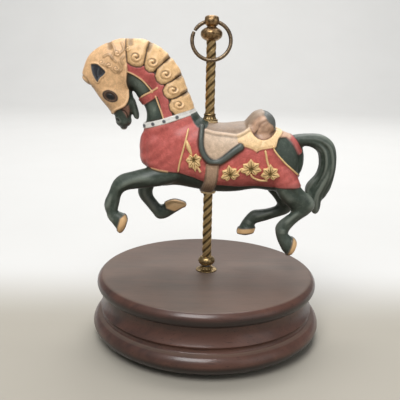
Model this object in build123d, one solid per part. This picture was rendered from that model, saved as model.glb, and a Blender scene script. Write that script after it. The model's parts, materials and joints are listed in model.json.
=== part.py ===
"""Carousel horse music box: a turned wooden base holds a key-wound movement, and the
movement turns a twisted brass pole that carries a cast horse, a finial and a loose ring.

Frame: origin on the pole's axis at the table plane, +Z up, the horse faces -X. Millimetres.
"""
from build123d import *
import math
import os

os.makedirs("parts", exist_ok=True)

# ---------------------------------------------------------------- driving dimensions
BASE_TOP = 42.2          # top of the turned base
BASE_R = 76.2            # widest point of the base's torus: a 6 inch turning
FOOT_T = 1.2             # felt ring under the base
TOP_BOARD = 6.0          # wood left above the movement
RECESS_R = 56.0          # key recess under the cover
CAVITY_R = 47.0          # movement cavity above the cover
COVER_Z = 13.5           # underside of the cover
COVER_T = 3.0
FELT_R = (57.5, 65.0)    # the felt ring's inner and outer edges

POLE_R = 3.15            # 1/4 inch twisted brass pole
ROD_R = 1.5              # threaded rod inside the pole
ROD_CLEAR = 0.1          # room round the rod
FLANGE_R = 6.3
FLANGE_TOP = 45.0
FOOT_BALL_R = 5.1
FOOT_BALL_Z = 48.2
FOOT_BALL_HALF = 2.9
LOWER_POLE = (51.0, 96.0)
LOWER_COLLAR = (96.0, 98.4)
UPPER_WASHER = (142.0, 143.5)
UPPER_COLLAR = (143.5, 148.0)
UPPER_POLE = (148.0, 193.0)
COLLAR_R = 5.3
KNOB_Z = 197.0
KNOB_R = 6.8
RING_Z = 204.7           # the cross hole in the top ball
TOP_BALL_R = 4.9
OBJECT_TOP = 208.2
RING_R = 12.0            # ring's centre line
RING_WIRE_R = 1.2
RING_LEAN = 11.2         # degrees: the ring leans on the front of the pole
RING_GAP_AT = 62.0       # degrees round the ring, from the hole, of its cut
RING_GAP = 1.0

BEDPLATE_T = 2.0
TRAIN_Z = 26.5           # height of the cylinder's and the governor's axes
BARREL_R = 12.3
BARREL_WALL = 0.8
SPINDLE_R = 2.2
RUN_CLEAR = 0.05         # radial room of a shaft in its bearing
CROWN_TEETH = 36
PINION_TEETH = 12
CROWN_R = 15.0
PINION_X = (14.2, 16.2)
CYLINDER_X = (19.2, 37.2)
CYLINDER_R = 5.4
PIN_H = 0.45
NOTES = 18
SPUR_MODULE = 0.6
GEAR_TEETH = 24
GOVERNOR_TEETH = 8
GEAR_X = (38.0, 39.6)
WORM_WHEEL_TEETH = 12
WORM_MODULE = 0.5
WORM_R = 1.6             # pitch radius of the worm
WORM_X = 31.0
SHAFT_R = 0.8

# ---------------------------------------------------------------- worked out from them
CEILING = BASE_TOP - TOP_BOARD
COVER_TOP = COVER_Z + COVER_T
BED_TOP = COVER_TOP + BEDPLATE_T
PINION_R = CROWN_R * PINION_TEETH / CROWN_TEETH
CROWN_PITCH_Z = TRAIN_Z + PINION_R
CROWN_ROOT_Z = CROWN_PITCH_Z + 0.65
CROWN_TIP_Z = CROWN_PITCH_Z - 0.45
FLANGE_TOP_Z = CROWN_ROOT_Z + 1.45
BARREL_Z = BED_TOP + 1.0
GEAR_R = SPUR_MODULE * GEAR_TEETH / 2
GOVERNOR_R = SPUR_MODULE * GOVERNOR_TEETH / 2
GOVERNOR_Y = GEAR_R + GOVERNOR_R
WORM_WHEEL_R = WORM_MODULE * WORM_WHEEL_TEETH / 2
WORM_Y = GOVERNOR_Y + WORM_WHEEL_R + WORM_R


def disc(radius, z0, z1, x=0.0, y=0.0):
    """Upright cylinder from z0 to z1."""
    return Pos(x, y, z0) * Cylinder(radius, z1 - z0, align=(Align.CENTER, Align.CENTER, Align.MIN))


def tube(outer, inner, z0, z1, x=0.0, y=0.0):
    """Upright tube from z0 to z1."""
    return disc(outer, z0, z1, x, y) - disc(inner, z0 - 1, z1 + 1, x, y)


def block(x0, x1, y0, y1, z0, z1):
    """Box between two corners."""
    return Pos((x0 + x1) / 2, (y0 + y1) / 2, (z0 + z1) / 2) * Box(x1 - x0, y1 - y0, z1 - z0)


def rod_x(radius, x0, x1, y=0.0, z=TRAIN_Z):
    """Cylinder along X."""
    return Pos(x0, y, z) * Rot(0, 90, 0) * Cylinder(
        radius, x1 - x0, align=(Align.CENTER, Align.CENTER, Align.MIN))


def turned(edges):
    """Closed outline in the XZ plane, turned about Z."""
    return revolve(make_face(Curve() + edges), Axis.Z)


def gear_outline(teeth, root, tip, at_root, at_tip, phase=0.0):
    """Flat gear with straight-flanked teeth; widths are shares of a tooth's turn."""
    step = 360 / teeth
    points = []
    for tooth in range(teeth):
        middle = phase + tooth * step
        for radius, turn in ((root, -at_root), (tip, -at_tip), (tip, at_tip), (root, at_root)):
            angle = math.radians(middle + turn * step)
            points.append((radius * math.cos(angle), radius * math.sin(angle)))
    return make_face(Polyline(points, close=True))


def gear_x(outline, bore, x0, x1, y=0.0, z=TRAIN_Z):
    """Gear whose axis is along X; the outline's own +X direction points to +Y."""
    plane = Plane(origin=(x0, y, z), x_dir=(0, 1, 0), z_dir=(1, 0, 0))
    return extrude(plane * outline, x1 - x0) - rod_x(bore, x0 - 1, x1 + 1, y, z)


def screw(x, y, z_head, length, radius=1.0, up=True):
    """Pan-head screw; the head lies below z_head when it is driven upwards."""
    turn = 1 if up else -1
    head = disc(radius * 1.9, 0, 1.2) - block(-radius * 1.6, radius * 1.6, -0.25, 0.25, -0.01, 0.5)
    shank = disc(radius, 1.2, 1.2 + length)
    made = head + shank
    if turn < 0:
        made = Rot(180, 0, 0) * made
    return Pos(x, y, z_head - turn * 1.2) * made


def polar(radius, degrees):
    """Point at an angle round the pole."""
    return radius * math.cos(math.radians(degrees)), radius * math.sin(math.radians(degrees))


# ---------------------------------------------------------------- base
def make_base_body():
    """Turned shell: torus foot, groove, cove and a round-edged top disc, hollow from below."""
    outline = [
        Line((0, FOOT_T), (66.0, FOOT_T)),
        ThreePointArc((66.0, FOOT_T), (73.1, 3.1), (BASE_R, 9.8)),
        ThreePointArc((BASE_R, 9.8), (75.0, 14.6), (71.6, 18.2)),
        Line((71.6, 18.2), (70.6, 18.2)),
        ThreePointArc((70.6, 18.2), (69.4, 20.2), (70.6, 22.2)),
        Line((70.6, 22.2), (71.0, 22.8)),
        ThreePointArc((71.0, 22.8), (68.4, 28.4), (67.4, 34.6)),
        Line((67.4, 34.6), (70.4, 34.8)),
        ThreePointArc((70.4, 34.8), (72.9, 38.2), (71.2, 41.2)),
        ThreePointArc((71.2, 41.2), (70.1, 41.9), (68.5, BASE_TOP)),
        Line((68.5, BASE_TOP), (0, BASE_TOP)),
        Line((0, BASE_TOP), (0, FOOT_T)),
    ]
    outline = [Plane.XZ * edge for edge in outline]
    body = turned(outline)
    body -= disc(RECESS_R, 0, COVER_TOP)
    body -= disc(CAVITY_R, COVER_TOP - 1, CEILING)
    body -= disc(4.0, CEILING - 1, BASE_TOP + 1)
    for angle in (45, 135, 225, 315):
        x, y = polar(51.5, angle)
        body -= disc(1.0, COVER_TOP - 1, COVER_TOP + 8.2, x, y)
    return body


def make_base_cover():
    """Hardboard disc that closes the cavity, with the arbor's hole and the screws' holes."""
    cover = tube(RECESS_R - 0.2, 3.0, COVER_Z, COVER_TOP)
    for angle in (45, 135, 225, 315):
        x, y = polar(51.5, angle)
        cover -= disc(1.1, COVER_Z - 1, COVER_TOP + 1, x, y)
    for x, y in MOVEMENT_SCREWS:
        cover -= disc(1.3, COVER_Z - 1, COVER_TOP + 1, x, y)
    return cover


MOVEMENT_SCREWS = ((-19.0, 0.0), (37.0, -11.0), (22.0, 14.5))

base_body = make_base_body()
base_cover = make_base_cover()
cover_screws = Compound([screw(*polar(51.5, a), COVER_Z, COVER_T + 8, 1.0) for a in (45, 135, 225, 315)])
felt_ring = tube(FELT_R[1], FELT_R[0], 0, FOOT_T)
pole_bush = tube(4.0, SPINDLE_R + RUN_CLEAR, CEILING, BASE_TOP)

flange_outline = [
    Line((SPINDLE_R + RUN_CLEAR, BASE_TOP), (FLANGE_R, BASE_TOP)),
    Line((FLANGE_R, BASE_TOP), (FLANGE_R, BASE_TOP + 0.5)),
    ThreePointArc((FLANGE_R, BASE_TOP + 0.5), (4.3, 43.5), (3.5, FLANGE_TOP)),
    Line((3.5, FLANGE_TOP), (SPINDLE_R + RUN_CLEAR, FLANGE_TOP)),
    Line((SPINDLE_R + RUN_CLEAR, FLANGE_TOP), (SPINDLE_R + RUN_CLEAR, BASE_TOP)),
]
foot_flange = turned([Plane.XZ * edge for edge in flange_outline])


# ---------------------------------------------------------------- movement, fixed pieces
def make_bedplate():
    """Cast plate: round under the barrel, square under the cylinder, with the comb's riser
    and two bearing posts cast on."""
    plate = disc(24.0, COVER_TOP, BED_TOP) + block(0, 42.6, -17.8, 17.4, COVER_TOP, BED_TOP)
    plate += block(CYLINDER_X[0] - 0.6, CYLINDER_X[1] + 0.6, -17.8, -12.8, BED_TOP, TRAIN_Z - 0.5)
    plate += block(16.9, 18.5, -3.5, 3.5, BED_TOP, TRAIN_Z + 2.5)
    plate += block(40.6, 42.4, -3.5, 3.5, BED_TOP, TRAIN_Z + 2.5)
    plate -= rod_x(SHAFT_R + RUN_CLEAR, 16, 43)
    plate -= disc(1.6 + RUN_CLEAR, COVER_TOP - 1, BED_TOP + 1)
    for x, y in MOVEMENT_SCREWS:
        plate -= disc(1.0, COVER_TOP - 1, BED_TOP - 0.1, x, y)
    for y in (-21.4, 21.4):
        plate -= disc(0.8, BED_TOP - 1.6, BED_TOP + 1, 0, y)
    for x in (24.0, 32.4):
        plate -= disc(0.8, TRAIN_Z - 3.7, TRAIN_Z, x, -15.6)
    return plate - disc(0.7, BED_TOP - 1.6, BED_TOP + 1, 36.0, 14.0)


def make_comb():
    """Eighteen tuned teeth cut in one steel plate, whose tips stop just clear of the pins."""
    tip_y = -(CYLINDER_R + PIN_H + 0.2)
    z0, z1 = TRAIN_Z - 0.5, TRAIN_Z + 0.5
    comb = block(CYLINDER_X[0], CYLINDER_X[1], -17.6, -13.2, z0, z1)
    for note in range(NOTES):
        x = CYLINDER_X[0] + note + 0.5
        comb += block(x - 0.38, x + 0.38, -13.3, tip_y, TRAIN_Z - 0.2, TRAIN_Z + 0.2)
    for x in (24.0, 32.4):
        comb -= disc(0.85, z0 - 1, z1 + 1, x, -15.6)
    return comb


def make_barrel_bridge():
    """Steel strap over the barrel: it carries the spindle's upper bearing."""
    z0, z1 = FLANGE_TOP_Z + 1.4, FLANGE_TOP_Z + 2.4
    bridge = block(-5, 5, -18.8, 18.8, z0, z1)
    for side in (-1, 1):
        y0, y1 = sorted((side * 17.6, side * 18.8))
        bridge += block(-5, 5, y0, y1, BED_TOP, z1)
        y0, y1 = sorted((side * 17.6, side * 23.4))
        bridge += block(-3, 3, y0, y1, BED_TOP, BED_TOP + 1.0)
        bridge -= disc(0.9, BED_TOP - 1, BED_TOP + 2, 0, side * 21.4)
    return bridge - disc(SPINDLE_R + RUN_CLEAR, z0 - 1, z1 + 1)


def make_governor_frame():
    """Bent frame: two uprights for the wheel's arbor, a foot and an arm for the fly's pivots."""
    z0, z1 = BED_TOP, BED_TOP + 1.0
    frame = block(26.2, 41.6, 7.6, 16.8, z0, z1)
    frame += block(26.2, 27.2, 7.6, 11.8, z0, TRAIN_Z + 2)
    frame += block(40.6, 41.6, 7.6, 11.8, z0, TRAIN_Z + 2)
    frame += block(29.5, 32.5, 19.0, 20.0, z0, FLY_Z[1] + 1.6)
    frame += block(29.5, 32.5, 16.0, 20.0, z0, z1)
    frame += block(29.5, 32.5, WORM_Y - 1.4, 20.0, FLY_Z[1] + 0.6, FLY_Z[1] + 1.6)
    frame -= rod_x(SHAFT_R + RUN_CLEAR, 25, 43, GOVERNOR_Y)
    frame -= disc(0.5 + RUN_CLEAR, z0 - 0.5, FLY_Z[1] + 3, WORM_X, WORM_Y)
    return frame - disc(0.8, z0 - 1, z1 + 1, 36.0, 14.0)


FLY_Z = (30.7, 33.7)
movement_bedplate = make_bedplate()
comb = make_comb()
comb_screws = Compound([screw(x, -15.6, TRAIN_Z + 0.5, 4.0, 0.8, up=False) for x in (24.0, 32.4)])
barrel_bridge = make_barrel_bridge()
bridge_screws = Compound([screw(0, y, BED_TOP + 1.0, 2.4, 0.8, up=False) for y in (-21.4, 21.4)])
governor_frame = make_governor_frame()
governor_screw = screw(36.0, 14.0, BED_TOP + 1.0, 2.4, 0.7, up=False)
movement_screws = Compound([screw(x, y, COVER_Z, COVER_T + 1.8, 1.0) for x, y in MOVEMENT_SCREWS])


# ---------------------------------------------------------------- movement, barrel and key
def make_spring_barrel():
    """Drawn cup for the mainspring."""
    cup = disc(BARREL_R, BARREL_Z, CROWN_ROOT_Z)
    cup -= disc(BARREL_R - BARREL_WALL, BARREL_Z + BARREL_WALL, CROWN_ROOT_Z + 1)
    return cup - disc(1.6 + RUN_CLEAR, BARREL_Z - 1, BARREL_Z + 2)


def make_crown_wheel():
    """Lid of the barrel with teeth on its underside, pointing down at the pinion."""
    wheel = tube(16.6, SPINDLE_R, CROWN_ROOT_Z, FLANGE_TOP_Z)
    wheel += tube(3.6, SPINDLE_R, FLANGE_TOP_Z - 0.2, FLANGE_TOP_Z + 1.1)
    step = 360 / CROWN_TEETH
    side = Plane.YZ * make_face(Polyline(
        [(-0.55, CROWN_ROOT_Z + 0.2), (-0.32, CROWN_TIP_Z), (0.32, CROWN_TIP_Z), (0.55, CROWN_ROOT_Z + 0.2)],
        close=True))
    tooth = Pos(13.9, 0, 0) * extrude(side, 2.6)
    for index in range(CROWN_TEETH):
        wheel += Rot(0, 0, (index + 0.5) * step) * tooth
    return wheel


def make_mainspring():
    """Coiled strip: a spiral from the arbor out to the barrel's wall."""
    turns, inner, outer, strip = 6.0, 3.2, BARREL_R - BARREL_WALL - 0.4, 0.3
    steps = 72

    def spiral(offset):
        points = []
        for index in range(steps + 1):
            share = index / steps
            radius = inner + (outer - inner) * share + offset
            angle = 2 * math.pi * turns * share
            points.append((radius * math.cos(angle), radius * math.sin(angle)))
        return points

    inside, outside = spiral(-strip / 2), spiral(strip / 2)
    edges = [Spline(*inside), Line(inside[-1], outside[-1]), Spline(*outside), Line(outside[0], inside[0])]
    face = make_face(Curve() + edges)
    return Pos(0, 0, BARREL_Z + 1.2) * extrude(face, CROWN_ROOT_Z - BARREL_Z - 2.0)


def make_winding_key():
    """Butterfly key: two round wings on a threaded boss."""
    boss = tube(3.2, 1.6, 7.5, COVER_Z - 0.7)
    wings = block(-10.5, 10.5, -0.9, 0.9, 3.0, 8.4)
    wings = fillet(wings.edges().filter_by(Axis.Y), 2.4)
    wings -= Pos(7.0, 0, 5.7) * Rot(90, 0, 0) * Cylinder(1.4, 4)
    wings -= Pos(-7.0, 0, 5.7) * Rot(90, 0, 0) * Cylinder(1.4, 4)
    return boss + wings - disc(1.6, 8.4, 20)


spring_barrel = make_spring_barrel()
crown_wheel = make_crown_wheel()
mainspring = make_mainspring()
drive_spindle = disc(SPINDLE_R, CROWN_ROOT_Z - 1.5, FLANGE_TOP) - disc(ROD_R, 37.0, FLANGE_TOP + 1)
winding_arbor = disc(1.6, 8.4, BARREL_Z + 2.0) + disc(2.6, BARREL_Z + 1.2, CROWN_ROOT_Z - 2.0)
winding_key = make_winding_key()


# ---------------------------------------------------------------- movement, train
def make_music_cylinder():
    """Brass drum with rows of raised pins, one row for each tooth of the comb."""
    drum = rod_x(CYLINDER_R, *CYLINDER_X) - rod_x(SHAFT_R, CYLINDER_X[0] - 1, CYLINDER_X[1] + 1)
    for note in range(NOTES):
        x = CYLINDER_X[0] + note + 0.5
        for beat in range(3):
            angle = (note * 47 + beat * 113) % 360
            pin = block(x - 0.18, x + 0.18, -0.18, 0.18, CYLINDER_R - 0.4, CYLINDER_R + PIN_H)
            drum += Pos(0, 0, TRAIN_Z) * Rot(angle, 0, 0) * pin
    return drum


def make_worm():
    """Single-start worm on the fly's spindle."""
    pitch = math.pi * WORM_MODULE
    turns = 3.5
    z0 = TRAIN_Z - pitch * turns / 2
    core = disc(WORM_R - 0.45, z0 - 0.6, z0 + pitch * turns + 0.6)
    core += disc(0.5, BED_TOP + 0.3, FLY_Z[1] + 1.4)
    path = Helix(pitch, pitch * turns, WORM_R - 0.1)
    flank = Plane(path @ 0, x_dir=(1, 0, 0), z_dir=path % 0)
    thread = sweep(flank * Trapezoid(0.62, 0.8, 75, rotation=-90), path, is_frenet=True)
    return Pos(WORM_X, WORM_Y, 0) * (core + Pos(0, 0, z0) * Rot(0, 0, 180) * thread)


def make_air_fly():
    """Two flat vanes that brake the train in the air."""
    hub = tube(1.2, 0.5, FLY_Z[0], FLY_Z[1])
    vanes = block(-4.0, 4.0, -0.2, 0.2, FLY_Z[0], FLY_Z[1]) - disc(0.5, FLY_Z[0] - 1, FLY_Z[1] + 1)
    return Pos(WORM_X, WORM_Y, 0) * (hub + vanes)


music_cylinder = make_music_cylinder()
cylinder_shaft = rod_x(SHAFT_R, 13.6, 42.6)
cylinder_pinion = gear_x(gear_outline(PINION_TEETH, PINION_R - 0.75, PINION_R + 0.4, 0.24, 0.11), SHAFT_R, *PINION_X)
cylinder_gear = gear_x(gear_outline(GEAR_TEETH, GEAR_R - 0.7, GEAR_R + 0.45, 0.26, 0.1), SHAFT_R, *GEAR_X)
governor_arbor = rod_x(SHAFT_R, 26.0, 41.8, GOVERNOR_Y)
governor_pinion = gear_x(gear_outline(GOVERNOR_TEETH, GOVERNOR_R - 0.7, GOVERNOR_R + 0.42, 0.24, 0.09, 22.5),
                         SHAFT_R, *GEAR_X, y=GOVERNOR_Y)
worm_wheel = gear_x(gear_outline(WORM_WHEEL_TEETH, WORM_WHEEL_R - 0.5, WORM_WHEEL_R + 0.32, 0.2, 0.08),
                    SHAFT_R, WORM_X - 0.7, WORM_X + 0.7, y=GOVERNOR_Y)
governor_worm = make_worm()
air_fly = make_air_fly()


# ---------------------------------------------------------------- pole, collars and finial
def make_finial():
    """Turned finial: flattened knob, neck and a ball with a flat top, cross-drilled for the
    ring. The hole flares like the ring's own arc, so the ring can swing in it."""
    outline = [
        Line((0, UPPER_POLE[1]), (POLE_R, UPPER_POLE[1])),
        ThreePointArc((POLE_R, UPPER_POLE[1]), (KNOB_R, KNOB_Z), (POLE_R, 200.7)),
        Line((POLE_R, 200.7), (2.8, 201.4)),
        ThreePointArc((2.8, 201.4), (TOP_BALL_R, RING_Z), (3.3, 207.6)),
        ThreePointArc((3.3, 207.6), (2.8, 208.0), (2.0, OBJECT_TOP)),
        Line((2.0, OBJECT_TOP), (0, OBJECT_TOP)),
        Line((0, OBJECT_TOP), (0, UPPER_POLE[1])),
    ]
    solid = turned([Plane.XZ * edge for edge in outline])
    solid -= disc(ROD_R, UPPER_POLE[1] - 1, ROD_TOP)
    half = TOP_BALL_R + 1
    drop = RING_R - math.sqrt(RING_R ** 2 - half ** 2)
    bore = RING_WIRE_R + 0.15
    flare = [
        Line((-half, 0), (half, 0)),
        Line((half, 0), (half, bore + drop)),
        ThreePointArc((half, bore + drop), (0, bore), (-half, bore + drop)),
        Line((-half, bore + drop), (-half, 0)),
    ]
    hole = revolve(Plane.XZ * make_face(Curve() + flare), Axis.X)
    return solid - Pos(0, 0, RING_Z) * hole


def make_finial_ring():
    """Split wire ring through the finial, hanging against the front of the pole."""
    gap = math.degrees(RING_GAP / RING_R)
    start = 90 + RING_GAP_AT + gap / 2
    path = CenterArc((0, 0), RING_R, start, 360 - gap)
    wire = sweep(Plane(path @ 0, z_dir=path % 0) * Circle(RING_WIRE_R), path)
    upright = Pos(0, 0, -RING_R) * Rot(90, 0, 0) * wire
    return Pos(0, 0, RING_Z) * Rot(-RING_LEAN, 0, 0) * upright


ROD_TOP = 201.0
centre_rod = disc(ROD_R, 37.0, ROD_TOP)
ball = Pos(0, 0, FOOT_BALL_Z) * scale(Sphere(FOOT_BALL_R), (1, 1, FOOT_BALL_HALF / FOOT_BALL_R))
foot_ball = ball & tube(FOOT_BALL_R + 1, ROD_R, FLANGE_TOP + 0.25, LOWER_POLE[0])
lower_pole_sleeve = tube(POLE_R, ROD_R + ROD_CLEAR, *LOWER_POLE)
lower_collar = tube(COLLAR_R, ROD_R + ROD_CLEAR, *LOWER_COLLAR)
upper_washer = tube(COLLAR_R, ROD_R + ROD_CLEAR, *UPPER_WASHER)
bell_outline = [
    Line((ROD_R + ROD_CLEAR, UPPER_COLLAR[0]), (COLLAR_R, UPPER_COLLAR[0])),
    ThreePointArc((COLLAR_R, UPPER_COLLAR[0]), (4.4, 146.4), (POLE_R, UPPER_COLLAR[1])),
    Line((POLE_R, UPPER_COLLAR[1]), (ROD_R + ROD_CLEAR, UPPER_COLLAR[1])),
    Line((ROD_R + ROD_CLEAR, UPPER_COLLAR[1]), (ROD_R + ROD_CLEAR, UPPER_COLLAR[0])),
]
upper_collar = turned([Plane.XZ * edge for edge in bell_outline])
upper_pole_sleeve = tube(POLE_R, ROD_R + ROD_CLEAR, *UPPER_POLE)
finial = make_finial()
finial_ring = make_finial_ring()


# ---------------------------------------------------------------- horse
# Each station is one oval section: its two edge points in side view (x, z) and its half
# width across. The casting is the union of one loft for each part of the animal.
TRUNK = ((-43.5, 134, -43.5, 114, 7), (-40, 140, -39.5, 108, 11.5), (-33, 144, -32, 100.5, 14.5),
         (-22, 147, -21, 101.2, 16.5), (-10, 145, -10, 99.8, 17.3), (0, 141.9, 0, 98.3, 17.6),
         (10, 140.8, 10, 97.6, 17.6), (22, 142, 20, 98, 17.6), (36, 141.5, 32, 99.8, 17.5),
         (46, 138, 44, 98.5, 17), (53, 135.6, 52, 99, 15.5), (57.6, 133.5, 57.4, 103, 12.5),
         (60, 129.5, 59.6, 108, 8.5))
CANTLE = ((22, 142, 23, 130, 9), (25, 147.5, 26, 130, 11), (29, 150.6, 29, 130, 12),
          (35, 150.3, 34.5, 130, 12), (40, 148.3, 38.5, 130, 11), (43, 141, 42, 130, 9))
NECK = ((-4, 140, -44, 126, 14.5), (-10.5, 149.5, -43.6, 138, 13), (-13, 156.5, -42.2, 147, 11.5),
        (-16.5, 165.5, -43.5, 152.5, 10), (-20.5, 175, -46.5, 157, 9), (-29, 185, -48, 160, 8.6),
        (-40, 191.5, -49.5, 161.5, 8.4), (-52, 193.3, -50.5, 162, 8.4), (-65, 190, -51, 161.5, 8.4),
        (-75.5, 183.2, -50.8, 160, 8), (-79.8, 174, -50.2, 158, 7.6),
        (-80.8, 169.2, -50, 156, 6.6))
HEAD = ((-80.8, 169, -50.5, 164, 6.4), (-74.6, 164, -49.3, 158, 7.6), (-70, 156.5, -49.3, 152.5, 7.2),
        (-65, 149.5, -47.8, 148, 6.6), (-62.3, 143.5, -47.3, 144.5, 6.2), (-60, 138.9, -51.5, 139.5, 4.6))
TAIL = ((56, 135.5, 56, 127.5, 5), (63.8, 136.7, 62.6, 127.8, 5.5), (71.5, 135.8, 66.4, 126.6, 6),
        (79.2, 130.4, 68.4, 123.6, 6.5), (83.4, 119.6, 69.2, 118, 6.8), (83.5, 110, 68.2, 110.5, 6.6),
        (81.5, 101.2, 65.8, 104, 6), (78.5, 95.5, 64.6, 98.8, 5.4), (75, 89.6, 65.6, 92, 4.6),
        (74.2, 83.8, 67.4, 86.5, 3.6), (71.8, 81.6, 69.6, 82.8, 2.2))
NEAR_FORE = ((-32, 114, -29, 101.5, 6.5), (-43, 112, -42.5, 100.5, 6), (-51, 109.5, -50.5, 99.5, 5),
             (-57.5, 107.5, -53.5, 97.5, 4.6), (-61.5, 102, -55.6, 94.5, 4.4), (-64, 95.5, -57, 90.5, 3.9),
             (-67.3, 88, -58.6, 86, 3.8), (-65.6, 82.5, -59.2, 83.8, 3.6), (-63.6, 77.5, -56, 83, 4),
             (-61.5, 75, -53.5, 82, 4.4), (-59, 71.5, -52, 80, 4.8), (-57, 69.5, -52, 78.5, 4.6))
FAR_FORE = ((-45.5, 106, -31, 105, 6), (-46.5, 96, -35.5, 97, 5), (-45, 90, -35.4, 92, 4.4),
            (-41, 85, -33.6, 89, 3.8), (-36.5, 79.6, -31.6, 86, 3.5), (-32.6, 74.8, -29, 85, 3.6),
            (-26.5, 75.4, -27.4, 86.8, 4.1), (-21, 79, -23, 88, 4.6), (-17, 82.5, -18, 87, 4.2))
NEAR_HIND = ((38, 116, 57, 115, 8.5), (43.5, 103, 60.5, 104, 8), (48, 94.5, 63, 100, 6.8),
             (53, 90, 67, 96, 5.4), (55.2, 87.4, 69.5, 90.5, 4.6), (53.6, 84.8, 67, 85.5, 4.2),
             (51, 82.5, 61.5, 81, 3.6), (48, 80, 57, 76.5, 3.6), (45.2, 75.5, 54.2, 72, 3.8),
             (46.5, 68.5, 56, 69.8, 4.2), (49, 63, 58.5, 68, 4.9), (51.5, 58.5, 59.5, 64.5, 4.8),
             (53.6, 56.3, 57, 59.5, 3.4))
FAR_HIND = ((36, 110, 54, 110, 8.5), (40.5, 98, 57.5, 98, 7.2), (45.5, 92, 59.5, 90, 5.8),
            (48.4, 86.6, 58.6, 81.6, 4.6), (43, 84, 46.5, 77, 3.6), (37, 83, 39.5, 74.5, 3.4),
            (31.5, 82, 34.8, 73.2, 3.7), (26.4, 76.6, 34, 72.4, 3.7), (23, 70.5, 34, 69.8, 4.5),
            (22, 66, 32.5, 66, 4.8))
LEG_Y = 9.0              # distance of each leg from the horse's middle plane


def oval(start, end, half_width):
    """Closed oval through twelve points, which starts at the section's first edge point."""
    middle = (start + end) / 2
    reach = (start - end) / 2
    points = []
    for index in range(12):
        turn = math.radians(30 * index)
        points.append(middle + reach * math.cos(turn) + Vector(0, half_width, 0) * math.sin(turn))
    return make_face(Spline(*points, periodic=True))


def loft_ovals(stations, y=0.0):
    """Straight-sided lofts from each oval section to the next, joined into one limb."""
    sections = [oval(Vector(x0, y, z0), Vector(x1, y, z1), half_width)
                for x0, z0, x1, z1, half_width in stations]
    pieces = [loft(pair, ruled=True) for pair in zip(sections, sections[1:])]
    return pieces[0] + pieces[1:]


def make_horse():
    """Solid casting with a bore for the rod and flat seats for the collars."""
    horse = loft_ovals(TRUNK)
    for stations in (CANTLE, NECK, HEAD, TAIL):
        horse += loft_ovals(stations)
    for stations, y in ((NEAR_FORE, -LEG_Y), (FAR_FORE, LEG_Y), (NEAR_HIND, -LEG_Y), (FAR_HIND, LEG_Y)):
        horse += loft_ovals(stations, y)
    horse -= disc(COLLAR_R + 0.2, LOWER_COLLAR[0] - 8, LOWER_COLLAR[1])
    horse -= disc(COLLAR_R + 0.2, UPPER_WASHER[0], UPPER_WASHER[0] + 20)
    return horse - disc(ROD_R + ROD_CLEAR, 80, 160)


horse = make_horse()

# ---------------------------------------------------------------- one file for each node
NODES = {
    "base_body": base_body,
    "base_cover": base_cover,
    "cover_screws": cover_screws,
    "felt_ring": felt_ring,
    "pole_bush": pole_bush,
    "foot_flange": foot_flange,
    "movement_bedplate": movement_bedplate,
    "movement_screws": movement_screws,
    "comb": comb,
    "comb_screws": comb_screws,
    "barrel_bridge": barrel_bridge,
    "bridge_screws": bridge_screws,
    "governor_frame": governor_frame,
    "governor_screw": governor_screw,
    "spring_barrel": spring_barrel,
    "crown_wheel": crown_wheel,
    "mainspring": mainspring,
    "drive_spindle": drive_spindle,
    "winding_arbor": winding_arbor,
    "winding_key": winding_key,
    "music_cylinder": music_cylinder,
    "cylinder_shaft": cylinder_shaft,
    "cylinder_pinion": cylinder_pinion,
    "cylinder_gear": cylinder_gear,
    "governor_arbor": governor_arbor,
    "governor_pinion": governor_pinion,
    "worm_wheel": worm_wheel,
    "governor_worm": governor_worm,
    "air_fly": air_fly,
    "centre_rod": centre_rod,
    "foot_ball": foot_ball,
    "lower_pole_sleeve": lower_pole_sleeve,
    "lower_collar": lower_collar,
    "horse": horse,
    "upper_washer": upper_washer,
    "upper_collar": upper_collar,
    "upper_pole_sleeve": upper_pole_sleeve,
    "finial": finial,
    "finial_ring": finial_ring,
}
for name, shape in NODES.items():
    export_step(shape, "parts/" + name + ".step")
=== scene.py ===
"""Carousel horse music box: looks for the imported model.

A turned mahogany base, aged brass fittings on a twisted pole, a split ring and a hand-painted
cast horse. Lengths in this file are millimetres until a mesh is written, which is in metres.
"""
import json
import math

import bpy
import numpy as np
from bpy.props import FloatProperty, FloatVectorProperty, IntProperty, PointerProperty
from bpy.types import Operator, Panel, PropertyGroup
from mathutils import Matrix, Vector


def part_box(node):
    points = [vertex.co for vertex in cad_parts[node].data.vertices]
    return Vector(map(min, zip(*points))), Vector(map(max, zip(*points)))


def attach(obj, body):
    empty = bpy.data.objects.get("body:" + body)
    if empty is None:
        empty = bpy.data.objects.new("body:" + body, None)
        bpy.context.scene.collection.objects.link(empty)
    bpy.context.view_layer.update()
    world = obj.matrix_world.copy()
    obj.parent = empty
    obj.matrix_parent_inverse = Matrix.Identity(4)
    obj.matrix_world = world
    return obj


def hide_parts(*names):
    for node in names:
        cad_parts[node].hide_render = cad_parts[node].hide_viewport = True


bl_info = {
    "name": "Carousel Music Box",
    "version": (1, 0, 0),
    "blender": (4, 5, 0),
    "location": "View3D > Sidebar > Music Box",
    "description": "Builds the surfaces and finishes of a carousel horse music box",
    "category": "Object",
}

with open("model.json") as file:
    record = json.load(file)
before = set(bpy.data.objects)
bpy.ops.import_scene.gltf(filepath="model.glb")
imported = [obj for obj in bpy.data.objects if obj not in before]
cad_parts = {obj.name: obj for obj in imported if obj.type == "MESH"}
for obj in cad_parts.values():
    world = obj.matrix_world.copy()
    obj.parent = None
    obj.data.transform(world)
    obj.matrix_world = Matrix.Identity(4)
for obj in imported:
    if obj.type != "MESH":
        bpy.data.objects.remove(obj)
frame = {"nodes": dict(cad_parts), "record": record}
MM = 0.001
FULL_TURN = 2.0 * math.pi
FAR_AWAY = 1e9
OUTSIDE = -99.0


# ------------------------------------------------------------------ small numpy helpers
def span(node):
    """Lowest and highest corner of a node of the model, in millimetres."""
    low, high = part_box(node)
    return np.array(low) / MM, np.array(high) / MM


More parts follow.
